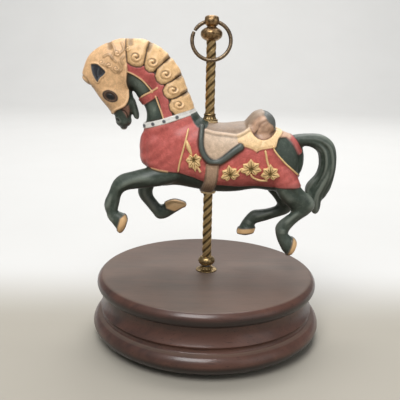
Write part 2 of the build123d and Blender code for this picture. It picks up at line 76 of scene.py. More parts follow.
def ring(count):
    """Evenly spaced angles round one turn, the last short of the first."""
    return np.linspace(0.0, FULL_TURN, count, endpoint=False)


def smooth(value, low, high):
    """0 below low, 1 above high, and a smooth cubic step between them."""
    share = np.clip((value - low) / (high - low), 0.0, 1.0)
    return share * share * (3.0 - 2.0 * share)


def through(points, count):
    """Curve through rows of points: Catmull-Rom cubics, evenly spaced by length."""
    points = np.asarray(points, float)
    before = 2.0 * points[0] - points[1]
    after = 2.0 * points[-1] - points[-2]
    rows = np.vstack([before, points, after])
    fine = np.linspace(0.0, len(points) - 1.0 - 1e-9, len(points) * 24)
    leg = fine.astype(int)
    t = (fine - leg)[:, None]
    p0, p1, p2, p3 = rows[leg], rows[leg + 1], rows[leg + 2], rows[leg + 3]
    curve = 0.5 * (2.0 * p1 + (p2 - p0) * t + (2.0 * p0 - 5.0 * p1 + 4.0 * p2 - p3) * t ** 2
                   + (3.0 * p1 - p0 - 3.0 * p2 + p3) * t ** 3)
    length = np.concatenate([[0.0], np.cumsum(np.linalg.norm(np.diff(curve, axis=0), axis=1))])
    at = np.linspace(0.0, length[-1], count)
    return np.stack([np.interp(at, length, curve[:, axis]) for axis in range(points.shape[1])], axis=1)


def closed_curve(points, count):
    """Closed smooth curve through 2-D points."""
    points = np.asarray(points, float)
    looped = np.vstack([points[-2:], points, points[:2]])
    fine = through(looped, count * 2)
    start = np.argmin(np.linalg.norm(fine - points[0], axis=1)[:count])
    end = count + np.argmin(np.linalg.norm(fine - points[0], axis=1)[count:])
    return fine[start:end]


def inside(points, x, z):
    """Signed distance to a closed polygon: positive inside it, in millimetres."""
    a = np.asarray(points, float)
    b = np.roll(a, -1, axis=0)
    best = np.full(x.shape, FAR_AWAY)
    crossing = np.zeros(x.shape, bool)
    for (ax, az), (bx, bz) in zip(a, b):
        ex, ez = bx - ax, bz - az
        px, pz = x - ax, z - az
        t = np.clip((px * ex + pz * ez) / (ex * ex + ez * ez + 1e-12), 0.0, 1.0)
        best = np.minimum(best, (px - t * ex) ** 2 + (pz - t * ez) ** 2)
        if az != bz:
            crossing ^= ((az > z) != (bz > z)) & (x < ex * (z - az) / ez + ax)
    return np.where(crossing, 1.0, -1.0) * np.sqrt(best)


def near_line(points, x, z):
    """Distance to a smooth open line through 2-D points, and the share of the way along it."""
    line = through(points, max(12, 8 * len(points)))
    best = np.full(x.shape, FAR_AWAY)
    along = np.zeros(x.shape)
    count = len(line) - 1
    for index in range(count):
        (ax, az), (bx, bz) = line[index], line[index + 1]
        ex, ez = bx - ax, bz - az
        t = np.clip(((x - ax) * ex + (z - az) * ez) / (ex * ex + ez * ez + 1e-12), 0.0, 1.0)
        gap = np.hypot(x - ax - t * ex, z - az - t * ez)
        closer = gap < best
        best = np.where(closer, gap, best)
        along = np.where(closer, (index + t) / count, along)
    return best, along


def waves(x, y, z, scale, seed):
    """Soft noise, mostly from -1 to 1: sines along directions that come from the seed, summed and
    divided by half their count."""
    rng = np.random.default_rng(seed)
    total = np.zeros(np.shape(x))
    count = 9
    for _ in range(count):
        direction = rng.normal(size=3)
        direction *= rng.uniform(0.6, 1.6) / scale / np.linalg.norm(direction)
        total += np.sin(direction[0] * x + direction[1] * y + direction[2] * z + rng.uniform(0, FULL_TURN))
    return total / (count / 2.0)


# ------------------------------------------------------------------ meshes from arrays
def rows_of(collection, key):
    """A vector property of a mesh's vertices or normals, as rows of three."""
    flat = np.empty(len(collection) * 3, np.float32)
    collection.foreach_get(key, flat)
    return flat.reshape(-1, 3).astype(float)


def enclosed(mesh):
    """Signed volume of a mesh: a sixth of the triple product summed over its triangles. It is
    negative when the faces point inwards."""
    mesh.calc_loop_triangles()
    corners = np.empty(len(mesh.loop_triangles) * 3, np.int32)
    mesh.loop_triangles.foreach_get("vertices", corners)
    a, b, c = rows_of(mesh.vertices, "co")[corners.reshape(-1, 3)].transpose(1, 0, 2)
    return float(np.sum(a * np.cross(b, c))) / 6.0


def link_object(name, data):
    """Puts a mesh, light or camera into the scene as an object."""
    thing = bpy.data.objects.new(name, data)
    bpy.context.scene.collection.objects.link(thing)
    return thing


def shade_smooth(mesh):
    """Marks every face as part of a smooth surface."""
    mesh.polygons.foreach_set("use_smooth", np.ones(len(mesh.polygons), bool))


def new_piece(name, points, faces, body, slot, replaced=()):
    """Mesh object from points in millimetres, given to a body. The slot argument is not used."""
    mesh = bpy.data.meshes.new(name)
    mesh.from_pydata((np.asarray(points, float) * MM).tolist(), [], faces)
    shade_smooth(mesh)
    mesh.update()
    if enclosed(mesh) < 0.0:
        mesh.flip_normals()
    piece = link_object(name, mesh)
    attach(piece, body)
    if replaced:
        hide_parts(*replaced)
    return piece


def grid_faces(rows, columns, wrap_rows=False, wrap_columns=False):
    """Quads of a grid of points that is stored row by row."""
    r = np.arange(rows if wrap_rows else rows - 1)
    c = np.arange(columns if wrap_columns else columns - 1)
    r0, c0 = np.meshgrid(r, c, indexing="ij")
    r1, c1 = (r0 + 1) % rows, (c0 + 1) % columns
    quads = np.stack([r0 * columns + c0, r0 * columns + c1, r1 * columns + c1, r1 * columns + c0], axis=-1)
    return quads.reshape(-1, 4).tolist()


def tube_mesh(grid):
    """Points and faces of a closed tube: rows of rings, with a fan of triangles on each end."""
    rows, columns = grid.shape[:2]
    points = np.vstack([grid.reshape(-1, 3), grid[0].mean(axis=0), grid[-1].mean(axis=0)])
    first, last = rows * columns, rows * columns + 1
    c = np.arange(columns)
    fan_a = np.stack([np.full(columns, first), (c + 1) % columns, c], axis=1)
    fan_b = np.stack([np.full(columns, last), (rows - 1) * columns + c,
                      (rows - 1) * columns + (c + 1) % columns], axis=1)
    faces = grid_faces(rows, columns, wrap_columns=True) + fan_a.tolist() + fan_b.tolist()
    return points, faces


def join_meshes(parts):
    """One list of points and one of faces from several pairs."""
    points, faces, offset = [], [], 0
    for part_points, part_faces in parts:
        points.append(np.asarray(part_points, float))
        faces.extend([[int(v) + offset for v in face] for face in part_faces])
        offset += len(part_points)
    return np.vstack(points), faces


def lathe(profile, segments, shape=None):
    """Turned surface: a closed outline of (radius, height) rows carried round the Z axis.
    shape, if given, maps the whole grid of points to another grid."""
    profile = np.asarray(profile, float)
    turn = ring(segments)
    radius, height = profile[:, 0][:, None], profile[:, 1][:, None]
    grid = np.stack([radius * np.cos(turn), radius * np.sin(turn), height + 0.0 * turn], axis=-1)
    if shape is not None:
        grid = shape(grid)
    return grid.reshape(-1, 3), grid_faces(len(profile), segments, wrap_rows=True, wrap_columns=True)


def arc_through(start, middle, end, count=22):
    """Arc through three points: its centre is as far from each of them, which two linear
    equations give, and its angles run from the first by way of the second to the third."""
    (ax, ay), (bx, by), (cx, cy) = start, middle, end
    d = 2.0 * (ax * (by - cy) + bx * (cy - ay) + cx * (ay - by))
    a2, b2, c2 = ax * ax + ay * ay, bx * bx + by * by, cx * cx + cy * cy
    ux = (a2 * (by - cy) + b2 * (cy - ay) + c2 * (ay - by)) / d
    uy = (a2 * (cx - bx) + b2 * (ax - cx) + c2 * (bx - ax)) / d
    angles = np.unwrap([math.atan2(py - uy, px - ux) for px, py in (start, middle, end)])
    turn = np.linspace(angles[0], angles[2], count)
    radius = math.hypot(ax - ux, ay - uy)
    return np.stack([ux + radius * np.cos(turn), uy + radius * np.sin(turn)], axis=1)


def polyline(points, spacing):
    """Straight runs between points, divided so that no step is longer than spacing."""
    out = []
    points = np.asarray(points, float)
    for a, b in zip(points, points[1:]):
        steps = max(1, int(np.ceil(np.linalg.norm(b - a) / spacing)))
        out.append(a + (b - a) * np.linspace(0.0, 1.0, steps, endpoint=False)[:, None])
    out.append(points[-1:])
    return np.vstack(out)


def set_floats(piece, name, values):
    """One number for each vertex, which a material reads by name."""
    layer = piece.data.attributes.new(name, "FLOAT", "POINT")
    layer.data.foreach_set("value", np.asarray(values, np.float32))


def set_colours(piece, name, rows):
    """One linear colour for each vertex, which a material reads by name."""
    layer = piece.data.attributes.new(name, "FLOAT_COLOR", "POINT")
    rgba = np.ones((len(rows), 4), np.float32)
    rgba[:, :3] = rows
    layer.data.foreach_set("color", rgba.ravel())


def linear(rgb):
    """Linear colour from 0-255 screen values."""
    c = np.asarray(rgb, float) / 255.0
    return tuple(np.where(c <= 0.04045, c / 12.92, ((c + 0.055) / 1.055) ** 2.4).tolist())


def scaled(colour, share):
    """A colour made lighter or darker by one factor."""
    return tuple(v * share for v in colour)


# ------------------------------------------------------------------ shader maths
class Signal:
    """One shader socket that takes part in Python arithmetic by adding Math nodes."""

    def __init__(self, finish, socket):
        self.finish = finish
        self.socket = socket

    def _math(self, operation, *terms):
        return self.finish.node("ShaderNodeMath", {"operation": operation}, dict(enumerate(terms)))

    def __add__(self, other):
        return self._math("ADD", self, other)

    __radd__ = __add__

    def __sub__(self, other):
        return self._math("SUBTRACT", self, other)

    def __rsub__(self, other):
        return self._math("SUBTRACT", other, self)

    def __mul__(self, other):
        return self._math("MULTIPLY", self, other)

    __rmul__ = __mul__

    def step(self, low, high):
        """0 at low and below, 1 at high and above, smooth between."""
        return self.finish.node("ShaderNodeMapRange", {"interpolation_type": "SMOOTHSTEP"},
                                {"Value": self, "From Min": low, "From Max": high})


class Finish:
    """One material: a Principled surface and the nodes that vary it."""

    def __init__(self, name, colour, rough, **constants):
        self.material = bpy.data.materials.new(name)
        self.material.use_nodes = True
        self.tree = self.material.node_tree
        self.tree.nodes.clear()
        out = self.tree.nodes.new("ShaderNodeOutputMaterial")
        self.shader = self.tree.nodes.new("ShaderNodeBsdfPrincipled")
        self.tree.links.new(self.shader.outputs[0], out.inputs[0])
        self.set("Base Color", (*colour, 1.0))
        self.set("Roughness", rough)
        for socket, value in constants.items():
            self.set(socket.replace("_", " "), value)
        coordinates = self.tree.nodes.new("ShaderNodeTexCoord")
        self.place = Signal(self, coordinates.outputs["Object"])

    def set(self, socket, value):
        """Gives a socket of the surface a number, a colour or a signal."""
        self._feed(self.shader.inputs[socket], value)

    def _feed(self, socket, value):
        if isinstance(value, Signal):
            self.tree.links.new(value.socket, socket)
        else:
            socket.default_value = value

    def node(self, kind, settings=None, inputs=None, output=0):
        """Adds a node, sets its settings first, feeds its sockets and returns one output."""
        made = self.tree.nodes.new(kind)
        for key, value in (settings or {}).items():
            setattr(made, key, value)
        for key, value in (inputs or {}).items():
            self._feed(made.inputs[key], value)
        return Signal(self, made.outputs[output])

    def mix(self, factor, a, b):
        """Colour a turning into colour b as factor goes from 0 to 1."""
        a = a if isinstance(a, Signal) else (*a, 1.0)
        b = b if isinstance(b, Signal) else (*b, 1.0)
        return self.node("ShaderNodeMix", {"data_type": "RGBA"}, {0: factor, 6: a, 7: b}, output=2)

    def stretched(self, x=1.0, y=1.0, z=1.0, turn=(0.0, 0.0, 0.0)):
        """Object coordinates scaled along each axis after a turn in radians."""
        return self.node("ShaderNodeMapping", {}, {"Vector": self.place, "Scale": (x, y, z),
                                                  "Rotation": turn})

    def noise(self, per_metre, detail=4.0, rough=0.55, at=None, warp=0.0):
        """Fractal noise, 0 to 1, with per_metre features in a metre."""
        return self.node("ShaderNodeTexNoise", {}, {"Vector": at or self.place, "Scale": per_metre,
                                                   "Detail": detail, "Roughness": rough,
                                                   "Distortion": warp})

    def attribute(self, name, output="Fac"):
        """A number or colour kept on the vertices."""
        return self.node("ShaderNodeAttribute", {"attribute_name": name}, output=output)

    def bump(self, height, strength, distance):
        """Small relief from a height signal, distance in metres."""
        self.set("Normal", self.node("ShaderNodeBump", {}, {"Height": height, "Strength": strength,
                                                            "Distance": distance}))


def dress(piece, finish):
    """Gives a piece one material."""
    piece.data.materials.clear()
    piece.data.materials.append(finish.material)


# ------------------------------------------------------------------ the casting's shape
# Sections as (x0, z0, x1, z1, half width): an oval across the line between two edge points.
TRUNK = ((-42.0, 136.5, -41.6, 112.5, 10.0), (-38.8, 141, -38.4, 107.5, 13), (-33, 144, -32, 100.5, 14.5),
         (-22, 147, -21, 101.2, 16.5), (-10, 145, -10, 99.8, 17.3), (0, 141.9, 0, 98.3, 17.6),
         (10, 140.8, 10, 97.6, 17.6), (22, 142, 20, 98, 17.6), (36, 141.5, 32, 99.8, 17.5),
         (46, 138, 44, 98.5, 17), (53, 135.6, 52, 99, 15.5), (57.6, 133.5, 57.4, 103, 12.5),
         (60, 129.5, 59.6, 108, 8.5))
CANTLE = ((20.5, 139.2, 20.5, 128, 10), (25.0, 142.6, 25.6, 130, 12), (28.4, 146.6, 29.2, 131, 12.6),
          (31.0, 149.2, 32.2, 133, 12.4), (33.0, 148.2, 34.6, 134, 11.6))
NECK = ((-4, 140, -44, 126, 14.5), (-10.5, 149.5, -43.6, 138, 13), (-13, 156.5, -42.2, 147, 11.5),
        (-16.5, 165.5, -43.5, 152.5, 10), (-20.5, 175, -46.5, 157, 9), (-29, 185, -48, 160, 8.6),
        (-40, 191.5, -49.5, 161.5, 8.4), (-52, 193.0, -50.5, 162, 8.4), (-65, 189.4, -51, 161.5, 8.4),
        (-75.0, 182.8, -50.8, 160, 8), (-79.2, 174, -50.2, 158, 7.6), (-80.2, 169.4, -50, 156, 6.6))
HEAD = ((-80.2, 169, -50.5, 164, 6.4), (-74.2, 164, -49.6, 158, 7.6), (-69.8, 156.5, -49.6, 153, 7.4),
        (-65, 149.5, -51.2, 149, 6.4), (-62.8, 144.5, -52.4, 144.5, 5.6), (-61.4, 140.6, -52.9, 140.8, 5.0))
JAW = ((-53.5, 155, -48.6, 156, 4.6), (-52.4, 150.5, -47.6, 151, 3.9), (-51.6, 147, -46.9, 146.4, 3.3),
       (-50.8, 144.6, -47.4, 143.6, 2.8))
TAIL = ((52, 134, 52, 125, 6.5), (56, 135.3, 56, 127.0, 5.8), (64.6, 136.5, 63.6, 128.2, 5.5),
        (73.0, 135.4, 68.2, 126.8, 6), (80.4, 129.8, 71.0, 123.8, 6.5), (83.6, 119.6, 71.4, 118, 6.8),
        (83.2, 110, 70.0, 110.5, 6.6), (81.0, 101.2, 65.8, 104, 6), (77.6, 95.5, 64.6, 98.8, 5.4),
        (75.4, 90.2, 65.6, 92, 4.6), (74.2, 85.0, 67.4, 87, 3.8), (72.6, 83.0, 69.0, 84.2, 2.6))
NEAR_FORE = ((-24, 117, -20, 105.5, 6.5), (-32, 115, -29, 102.2, 6.8), (-43, 113.2, -42.0, 100.2, 6.4),
             (-51.5, 111.0, -50.0, 99.0, 5.4), (-58.6, 109.0, -53.6, 97.0, 4.8),
             (-62.6, 104.6, -55.0, 94.3, 4.6), (-63.8, 97.0, -55.8, 90.5, 4.1),
             (-66.2, 89.4, -56.9, 86, 3.9), (-64.8, 83.5, -57.2, 84.2, 3.7), (-62.4, 78.5, -54.4, 83.8, 4.1),
             (-60.3, 75.6, -52.5, 82.4, 4.5), (-58.2, 72.6, -51.2, 79.4, 4.7),
             (-56.4, 70.4, -52.2, 76.2, 4.2))
FAR_FORE = ((-45.5, 106, -31, 105, 6), (-46.5, 96, -35.5, 97, 5), (-45, 90, -35.4, 92, 4.4),
            (-41, 85, -33.6, 89, 3.8), (-36.5, 79.6, -31.6, 86, 3.5), (-32.6, 75.2, -29.4, 85, 3.6),
            (-27, 75.6, -27.4, 86.8, 4.1), (-21, 79.4, -22, 88.8, 4.6), (-17.4, 81.6, -17.8, 88.2, 4.1),
            (-13.8, 84.4, -14.0, 86.8, 3.0))
NEAR_HIND = ((38, 116, 57, 115, 8.5), (43.5, 103, 60.5, 104, 8), (48, 94.5, 63, 100, 6.8),
             (53, 90, 67, 96, 5.4), (55.2, 87.4, 69.3, 90.5, 4.6), (53.6, 84.8, 66.6, 85.5, 4.2),
             (51, 82.5, 61.5, 81, 3.6), (48, 80, 57, 76.5, 3.6), (45.4, 75.5, 54.2, 72, 3.8),
             (46.7, 68.5, 56, 69.8, 4.2), (49, 63.4, 58.5, 68, 4.9), (51.2, 59.5, 60.0, 65.0, 4.8),
             (53.6, 57.5, 58.6, 60.6, 4.0))
FAR_HIND = ((36, 110, 54, 110, 8.5), (40.5, 98, 57.5, 98, 7.2), (45.5, 92, 59.5, 90, 5.8),
            (48.4, 86.6, 57.6, 81.6, 4.6), (43, 84, 46.5, 77, 3.6), (37, 83, 39.5, 74.5, 3.4),
            (31.5, 82, 34.8, 73.2, 3.7), (26.4, 76.6, 34, 72.4, 3.7), (23, 70.5, 34, 69.8, 4.5),
            (21.8, 66.8, 33, 66.6, 4.9))
# Tendons and hollows as (side, line, half width, height): side is the sign of y.
CORDS = (
    (-1, ((-34, 107.5), (-45, 107.5), (-54, 104), (-59.5, 98.5)), 1.7, 0.55),
    (-1, ((-38, 103.6), (-48, 102.4), (-54, 98.6), (-57.2, 93)), 1.4, -0.6),
    (-1, ((-60.8, 98), (-62.2, 92), (-64.8, 86)), 1.1, 0.45),
    (-1, ((-58.8, 93.5), (-60.6, 87), (-60.6, 82.6)), 0.9, -0.45),
    (-1, ((-63.6, 84), (-62.0, 80), (-58.6, 79.6)), 1.3, 0.45),
    (1, ((-42, 100), (-40.6, 92), (-36.2, 85), (-31.6, 79)), 1.1, 0.45),
    (1, ((-37.6, 97), (-36.4, 91.6), (-33, 87)), 0.9, -0.4),
    (-1, ((44, 109), (50, 99), (57, 92.4)), 1.9, 0.5),
    (-1, ((50.6, 108), (56.4, 100), (61.4, 94.6)), 1.5, -0.65),
    (-1, ((58.8, 107), (64.4, 99.4), (67.4, 93), (64.0, 87.4)), 1.4, 0.55),
    (-1, ((61.4, 88.6), (56.0, 83.4), (50.4, 77.6)), 1.0, 0.5),
    (-1, ((57.6, 88.4), (52.8, 83.4)), 0.8, -0.35),
    (-1, ((50.4, 76), (50.0, 71.6)), 1.5, 0.4),
    (1, ((48.6, 101), (53, 93), (52.0, 86)), 1.7, 0.5),
    (1, ((47.0, 82.2), (39.0, 79.8), (32.4, 78.2)), 0.9, 0.45),
    (1, ((45.0, 79.4), (38.4, 76.6)), 0.8, -0.35),
    (1, ((30.4, 76), (28.6, 72.8)), 1.5, 0.4),
)
LEG_Y = 9.0
ROLL_PLACE = (35.4, 141.9)
ROLL_R = 7.7
ROLL_HALF = 14.2
MUZZLE_PLACE = (-57.4, 0.0, 142.4)
MUZZLE_RADII = (5.4, 5.6, 4.6)
# Room kept inside the model's box, and the furthest that relief may stand from the middle plane.
HORSE_ROOM = 0.03
HORSE_SIDE = 40.0


def swept_ovals(stations, y=0.0, rings=56, sides=40, power=2.15):
    """Closed limb: a curve carries an oval with a long axis, a middle and a half width from
    station to station, and both ends are domed by rings that shrink as a cosine while they move
    out as a sine. The oval's corners are filled as a superellipse of the given power."""
    dome = 0.45
    rows = through(stations, rings)
    centre = (rows[:, 0:2] + rows[:, 2:4]) / 2.0
    reach = (rows[:, 0:2] - rows[:, 2:4]) / 2.0
    half = rows[:, 4]
    for end, inner in ((0, 1), (-1, -2)):
        away = centre[end] - centre[inner]
        away /= np.linalg.norm(away) + 1e-9
        bulge = dome * min(np.linalg.norm(reach[end]), half[end])
        turn = np.radians([22.5, 45.0, 65.0, 80.0])
        caps = centre[end] + away * bulge * np.sin(turn)[:, None]
        cap_reach = reach[end] * np.cos(turn)[:, None]
        cap_half = half[end] * np.cos(turn)
        if end == 0:
            caps, cap_reach, cap_half = caps[::-1], cap_reach[::-1], cap_half[::-1]
            centre, reach = np.vstack([caps, centre]), np.vstack([cap_reach, reach])
            half = np.concatenate([cap_half, half])
        else:
            centre, reach = np.vstack([centre, caps]), np.vstack([reach, cap_reach])
            half = np.concatenate([half, cap_half])
    turn = ring(sides)
    c = np.sign(np.cos(turn)) * np.abs(np.cos(turn)) ** (2.0 / power)
    s = np.sign(np.sin(turn)) * np.abs(np.sin(turn)) ** (2.0 / power)
    grid = np.empty((len(half), sides, 3))
    grid[:, :, 0] = centre[:, 0:1] + reach[:, 0:1] * c
    grid[:, :, 1] = y + half[:, None] * s
    grid[:, :, 2] = centre[:, 1:2] + reach[:, 1:2] * c
    return tube_mesh(grid)


def rounded_roll(centre, radius, half):
    """Bolster across the horse: circles whose radius falls towards the ends as the square root of
    one less the fifth power of the way out."""
    rows, sides = 41, 48
    across = np.linspace(-1.0, 1.0, rows)
    size = radius * (1.0 - np.abs(across * 0.995) ** 5) ** 0.5
    turn = ring(sides)
    grid = np.empty((rows, sides, 3))
    grid[:, :, 0] = centre[0] + size[:, None] * np.cos(turn)
    grid[:, :, 1] = (half * across)[:, None]
    grid[:, :, 2] = centre[1] + size[:, None] * np.sin(turn)
    return tube_mesh(grid)


def ball(centre, radii):
    """Ellipsoid: at each latitude a ring of the cosine's size at the sine's height, to 85 degrees."""
    rows, sides = 19, 32
    up = np.radians(np.linspace(-85.0, 85.0, rows))
    turn = ring(sides)
    grid = np.empty((rows, sides, 3))
    grid[:, :, 0] = centre[0] + radii[0] * np.cos(up)[:, None] * np.cos(turn)
    grid[:, :, 1] = centre[1] + radii[1] * np.cos(up)[:, None] * np.sin(turn)
    grid[:, :, 2] = centre[2] + radii[2] * np.sin(up)[:, None]
    return tube_mesh(grid)


def finished_mesh(piece):
    """A piece's mesh with its modifiers applied."""
    graph = bpy.context.evaluated_depsgraph_get()
    return bpy.data.meshes.new_from_object(piece.evaluated_get(graph))


def fused(name, tubes, voxel):
    """One closed skin round several closed tubes, by a remesh of their union with voxels of a
    size in metres."""
    points, faces = join_meshes(tubes)
    rough = bpy.data.meshes.new("bulk")
    rough.from_pydata((points * MM).tolist(), [], faces)
    bulk = link_object("bulk", rough)
    remesh = bulk.modifiers.new("skin", "REMESH")
    remesh.mode = "VOXEL"
    remesh.voxel_size = voxel
    mesh = finished_mesh(bulk)
    mesh.name = name
    bpy.data.objects.remove(bulk)
    bpy.data.meshes.remove(rough)
    return mesh


class Skin:
    """A casting while it is modelled and painted: points, relief and colour for each vertex."""

    def __init__(self, mesh, ground):
        self.mesh = mesh
        self.count = len(mesh.vertices)
        self.points = rows_of(mesh.vertices, "co") / MM
        pairs = np.empty(len(mesh.edges) * 2, np.int32)
        mesh.edges.foreach_get("vertices", pairs)
        self.a, self.b = pairs.reshape(-1, 2).T
        self.degree = np.bincount(pairs, minlength=self.count).astype(float)
        self.rise = np.zeros(self.count)
        self.paint = np.tile(np.asarray(ground, float), (self.count, 1))
        self.gilt = np.zeros(self.count)

    def around(self, values):
        """Mean of each vertex's neighbours."""
        values = np.asarray(values, float)
        if values.ndim == 2:
            return np.stack([self.around(values[:, axis]) for axis in range(values.shape[1])], axis=1)
        total = np.bincount(self.a, values[self.b], self.count)
        total += np.bincount(self.b, values[self.a], self.count)
        return total / self.degree

    def relax(self, rounds, inwards=0.55, outwards=0.203):
        """Smooths the shape: each step towards the neighbours' mean is followed by a smaller one
        away from it, which keeps the thickness."""
        for _ in range(rounds):
            self.points += inwards * (self.around(self.points) - self.points)
            self.points -= outwards * (self.around(self.points) - self.points)
        self.settle()

    def settle(self):
        """Writes the points to the mesh and reads its normals."""
        self.mesh.vertices.foreach_set("co", (self.points * MM).astype(np.float32).ravel())
        self.mesh.update()
        self.normal = rows_of(self.mesh.vertex_normals, "vector")
        self.x, self.y, self.z = self.points.T

    def _some(self, outline, room):
        outline = np.asarray(outline, float)
        low, high = outline.min(axis=0) - room, outline.max(axis=0) + room
        return np.nonzero((self.x > low[0]) & (self.x < high[0])
                          & (self.z > low[1]) & (self.z < high[1]))[0]

    def zone(self, outline, rounded=False, room=4.0):
        """Distance inside a closed outline seen from the side, negative outside it."""
        outline = closed_curve(outline, 10 * len(outline)) if rounded else outline
        found = np.full(self.count, OUTSIDE)
        some = self._some(outline, room)
        found[some] = inside(outline, self.x[some], self.z[some])
        return found

    def band_and_way(self, line, half, room=5.0):
        """Distance inside a band round a line seen from the side, and the way along it."""
        found, along = np.full(self.count, OUTSIDE), np.zeros(self.count)
        some = self._some(line, room + half)
        gap, way = near_line(line, self.x[some], self.z[some])
        found[some], along[some] = half - gap, way
        return found, along

    def band(self, line, half):
        """Distance inside a band round a line seen from the side."""
        return self.band_and_way(line, half)[0]

    def oval(self, x, z, reach, height, turn=0.0):
        """Rough distance inside an ellipse seen from the side, its long axis turned in degrees."""
        c, s = math.cos(math.radians(turn)), math.sin(math.radians(turn))
        u = (self.x - x) * c + (self.z - z) * s
        v = -(self.x - x) * s + (self.z - z) * c
        return (1.0 - np.hypot(u / reach, v / height)) * min(reach, height)

    def lay(self, distance, colour, rise=None, edge=0.7, soft=0.3, where=1.0, gilt=None, share=1.0):
        """Lays one coat: a colour and a height inside a distance's zero line, above what is there."""
        if rise is not None:
            part = smooth(distance, -edge / 2.0, edge / 2.0) * where
            self.rise = self.rise * (1.0 - part) + rise * part
        part = smooth(distance, -soft, soft) * where * share
        self.tint(colour, part)
        if gilt is not None:
            self.gilt += (gilt - self.gilt) * part

    def tint(self, colour, part):
        """Turns the paint towards a colour by a share for each vertex."""
        self.paint += (colour - self.paint) * part[:, None]

    def sink(self, depth, part):
        """Lets the surface down to a depth under the bare casting by a share for each vertex."""
        self.rise += (-depth - self.rise) * part

    def finished(self, low, high):
        """Moves the points out by their relief, keeps them in the model's box, and stores for the
        finish the colour, the gilt and how hollow or proud each point is."""
        self.rise = 0.7 * self.rise + 0.3 * self.around(self.rise)
        self.points += self.normal * self.rise[:, None]
        self.points[:, 0] = gathered(self.points[:, 0], self.points[:, 2])
        self.points = np.clip(self.points, low, high)
        self.settle()
        step = np.sum((self.around(self.points) - self.points) * self.normal, axis=1)
        fine = 0.5 * step + 0.5 * self.around(step)
        wide = fine
        wide_rounds, fine_gain, wide_gain = 14, 2.2, 9.0
        for _ in range(wide_rounds):
            wide = self.around(wide)
        piece = link_object(self.mesh.name, self.mesh)
        shade_smooth(self.mesh)
        spacing = np.median(np.linalg.norm(self.points[self.a] - self.points[self.b], axis=1))
        set_colours(piece, "paint", self.paint)
        set_floats(piece, "gilt", self.gilt)
        hollow = fine / spacing * fine_gain + wide / spacing * wide_gain
        set_floats(piece, "hollow", np.clip(hollow, -1.0, 1.0))
        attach(piece, "carousel")
        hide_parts("horse")
        return piece


# ------------------------------------------------------------------ trappings, seen from the side
COLLAR_LOW = ((-54, 134.3), (-43.9, 137.3), (-36, 139.6), (-28.6, 141.7), (-20, 144.6), (-10.7, 147.2),
              (-2, 150.2))
COLLAR_WIDE = 3.9
STUDS = ((-42.2, 139.8), (-36.6, 141.6), (-29.8, 143.6), (-21.8, 146.2))
HOOD = ((-51.6, 179), (-51.3, 174), (-52.3, 167.5), (-51.8, 162.5), (-52, 157.5), (-53, 154.5),
        (-55, 152), (-58, 150.5), (-60.5, 149.5), (-62.8, 147.2), (-66, 144), (-86, 165), (-84, 180),
        (-72, 194), (-53.2, 198))
PLATES = (
    ((-53.2, 198), (-47.5, 198), (-37, 195), (-38, 190.5), (-39.5, 186), (-41, 178), (-43, 176.5),
     (-46, 176.3), (-49, 177.2), (-51.4, 179)),
    ((-37, 195), (-29, 190), (-22.5, 184.5), (-25.5, 182.2), (-33.3, 175.2), (-35.2, 173.4), (-38, 173.3),
     (-40.2, 175), (-41, 178), (-39.5, 186)),
    ((-22.5, 184.5), (-16, 177), (-14, 172), (-19, 171.6), (-24, 168), (-27, 166.0), (-30.6, 166.0),
     (-33.2, 168), (-34.3, 171), (-33.3, 175.2), (-25.5, 182.2)),
    ((-14, 172), (-11, 165), (-10, 161.4), (-15, 161.4), (-21.4, 157.9), (-24.4, 156.9), (-27.2, 157.6),
     (-29, 159.6), (-29.6, 162.4), (-27.6, 166.2), (-24, 168), (-19, 171.6)),
    ((-10, 161.4), (-7, 155), (-6, 148.0), (-17.9, 147.2), (-22.8, 147.6), (-25.8, 150.4), (-26.4, 153.8),
     (-24.8, 156.9), (-21.4, 157.9), (-15, 161.4)),
)
CURLS = ((-46.0, 182.0, 3.0), (-36.0, 178.9, 3.0), (-28.0, 171.8, 3.0), (-23.6, 162.4, 3.0),
         (-20.6, 153.6, 2.9), (-57.5, 184.0, 1.9), (-51.2, 186.5, 1.7), (-62.5, 177.0, 1.8),
         (-58.2, 175.2, 1.6), (-67.0, 178.5, 1.5))
SCROLLS = (
    ((-60.4, 188.6), (-59.0, 185.2), (-60.6, 181.6), (-58.4, 179.0)),
    ((-65.6, 181.8), (-62.8, 183.0), (-60.4, 181.0)), ((-56.2, 178.6), (-54.6, 175.4), (-56.8, 172.6)),
    ((-68.8, 175.2), (-66.2, 177.2), (-63.6, 176.4)), ((-54.8, 189.6), (-53.6, 186.4), (-55.6, 184.0)),
    ((-53.4, 182.0), (-55.0, 180.2), (-53.8, 178.0)), ((-60.8, 174.6), (-58.6, 173.0), (-56.6, 174.0)),
)
NOTCHES = (((-64, 194), (-62.0, 187)), ((-50, 196), (-49.5, 189.5)), ((-36.6, 193), (-38.6, 186.5)),
           ((-24, 185), (-28.5, 180)), ((-16, 173.5), (-21, 170)), ((-13, 162.5), (-17.8, 160)))
STRAPS = (
    (((-52.0, 177.4), (-46.4, 175.6), (-40.6, 172.2), (-35.2, 167.6), (-30.4, 161.6)), 3.7),
    (((-43.6, 155.4), (-40.5, 157.2), (-37.0, 159.2), (-31.0, 163.0)), 2.5),
    (((-31.4, 162.5), (-29.4, 156.0), (-28.2, 150.0), (-26.4, 143.0)), 2.9),
)
STRAP_EDGES = (
    ((-51.8, 173.6), (-47, 171.5), (-42, 168.2), (-37.8, 163.6), (-36.2, 161.2)),
    ((-43.4, 158.2), (-40.5, 159.8), (-36.6, 161.6), (-33.0, 163.8)),
    ((-34.3, 158.6), (-33.0, 154.0), (-31.4, 149.0), (-30.2, 144.6)),
)
HOOD_HEM = ((-52.2, 177), (-52.9, 167.5), (-52.5, 162.5), (-52.7, 157.9), (-53.8, 155), (-55.6, 152.7),
            (-58.4, 151.3), (-61.5, 149.7), (-64.0, 147.2))
BROW = ((-84, 172), (-79.6, 170.4), (-76.6, 168.4), (-75.0, 165.0))
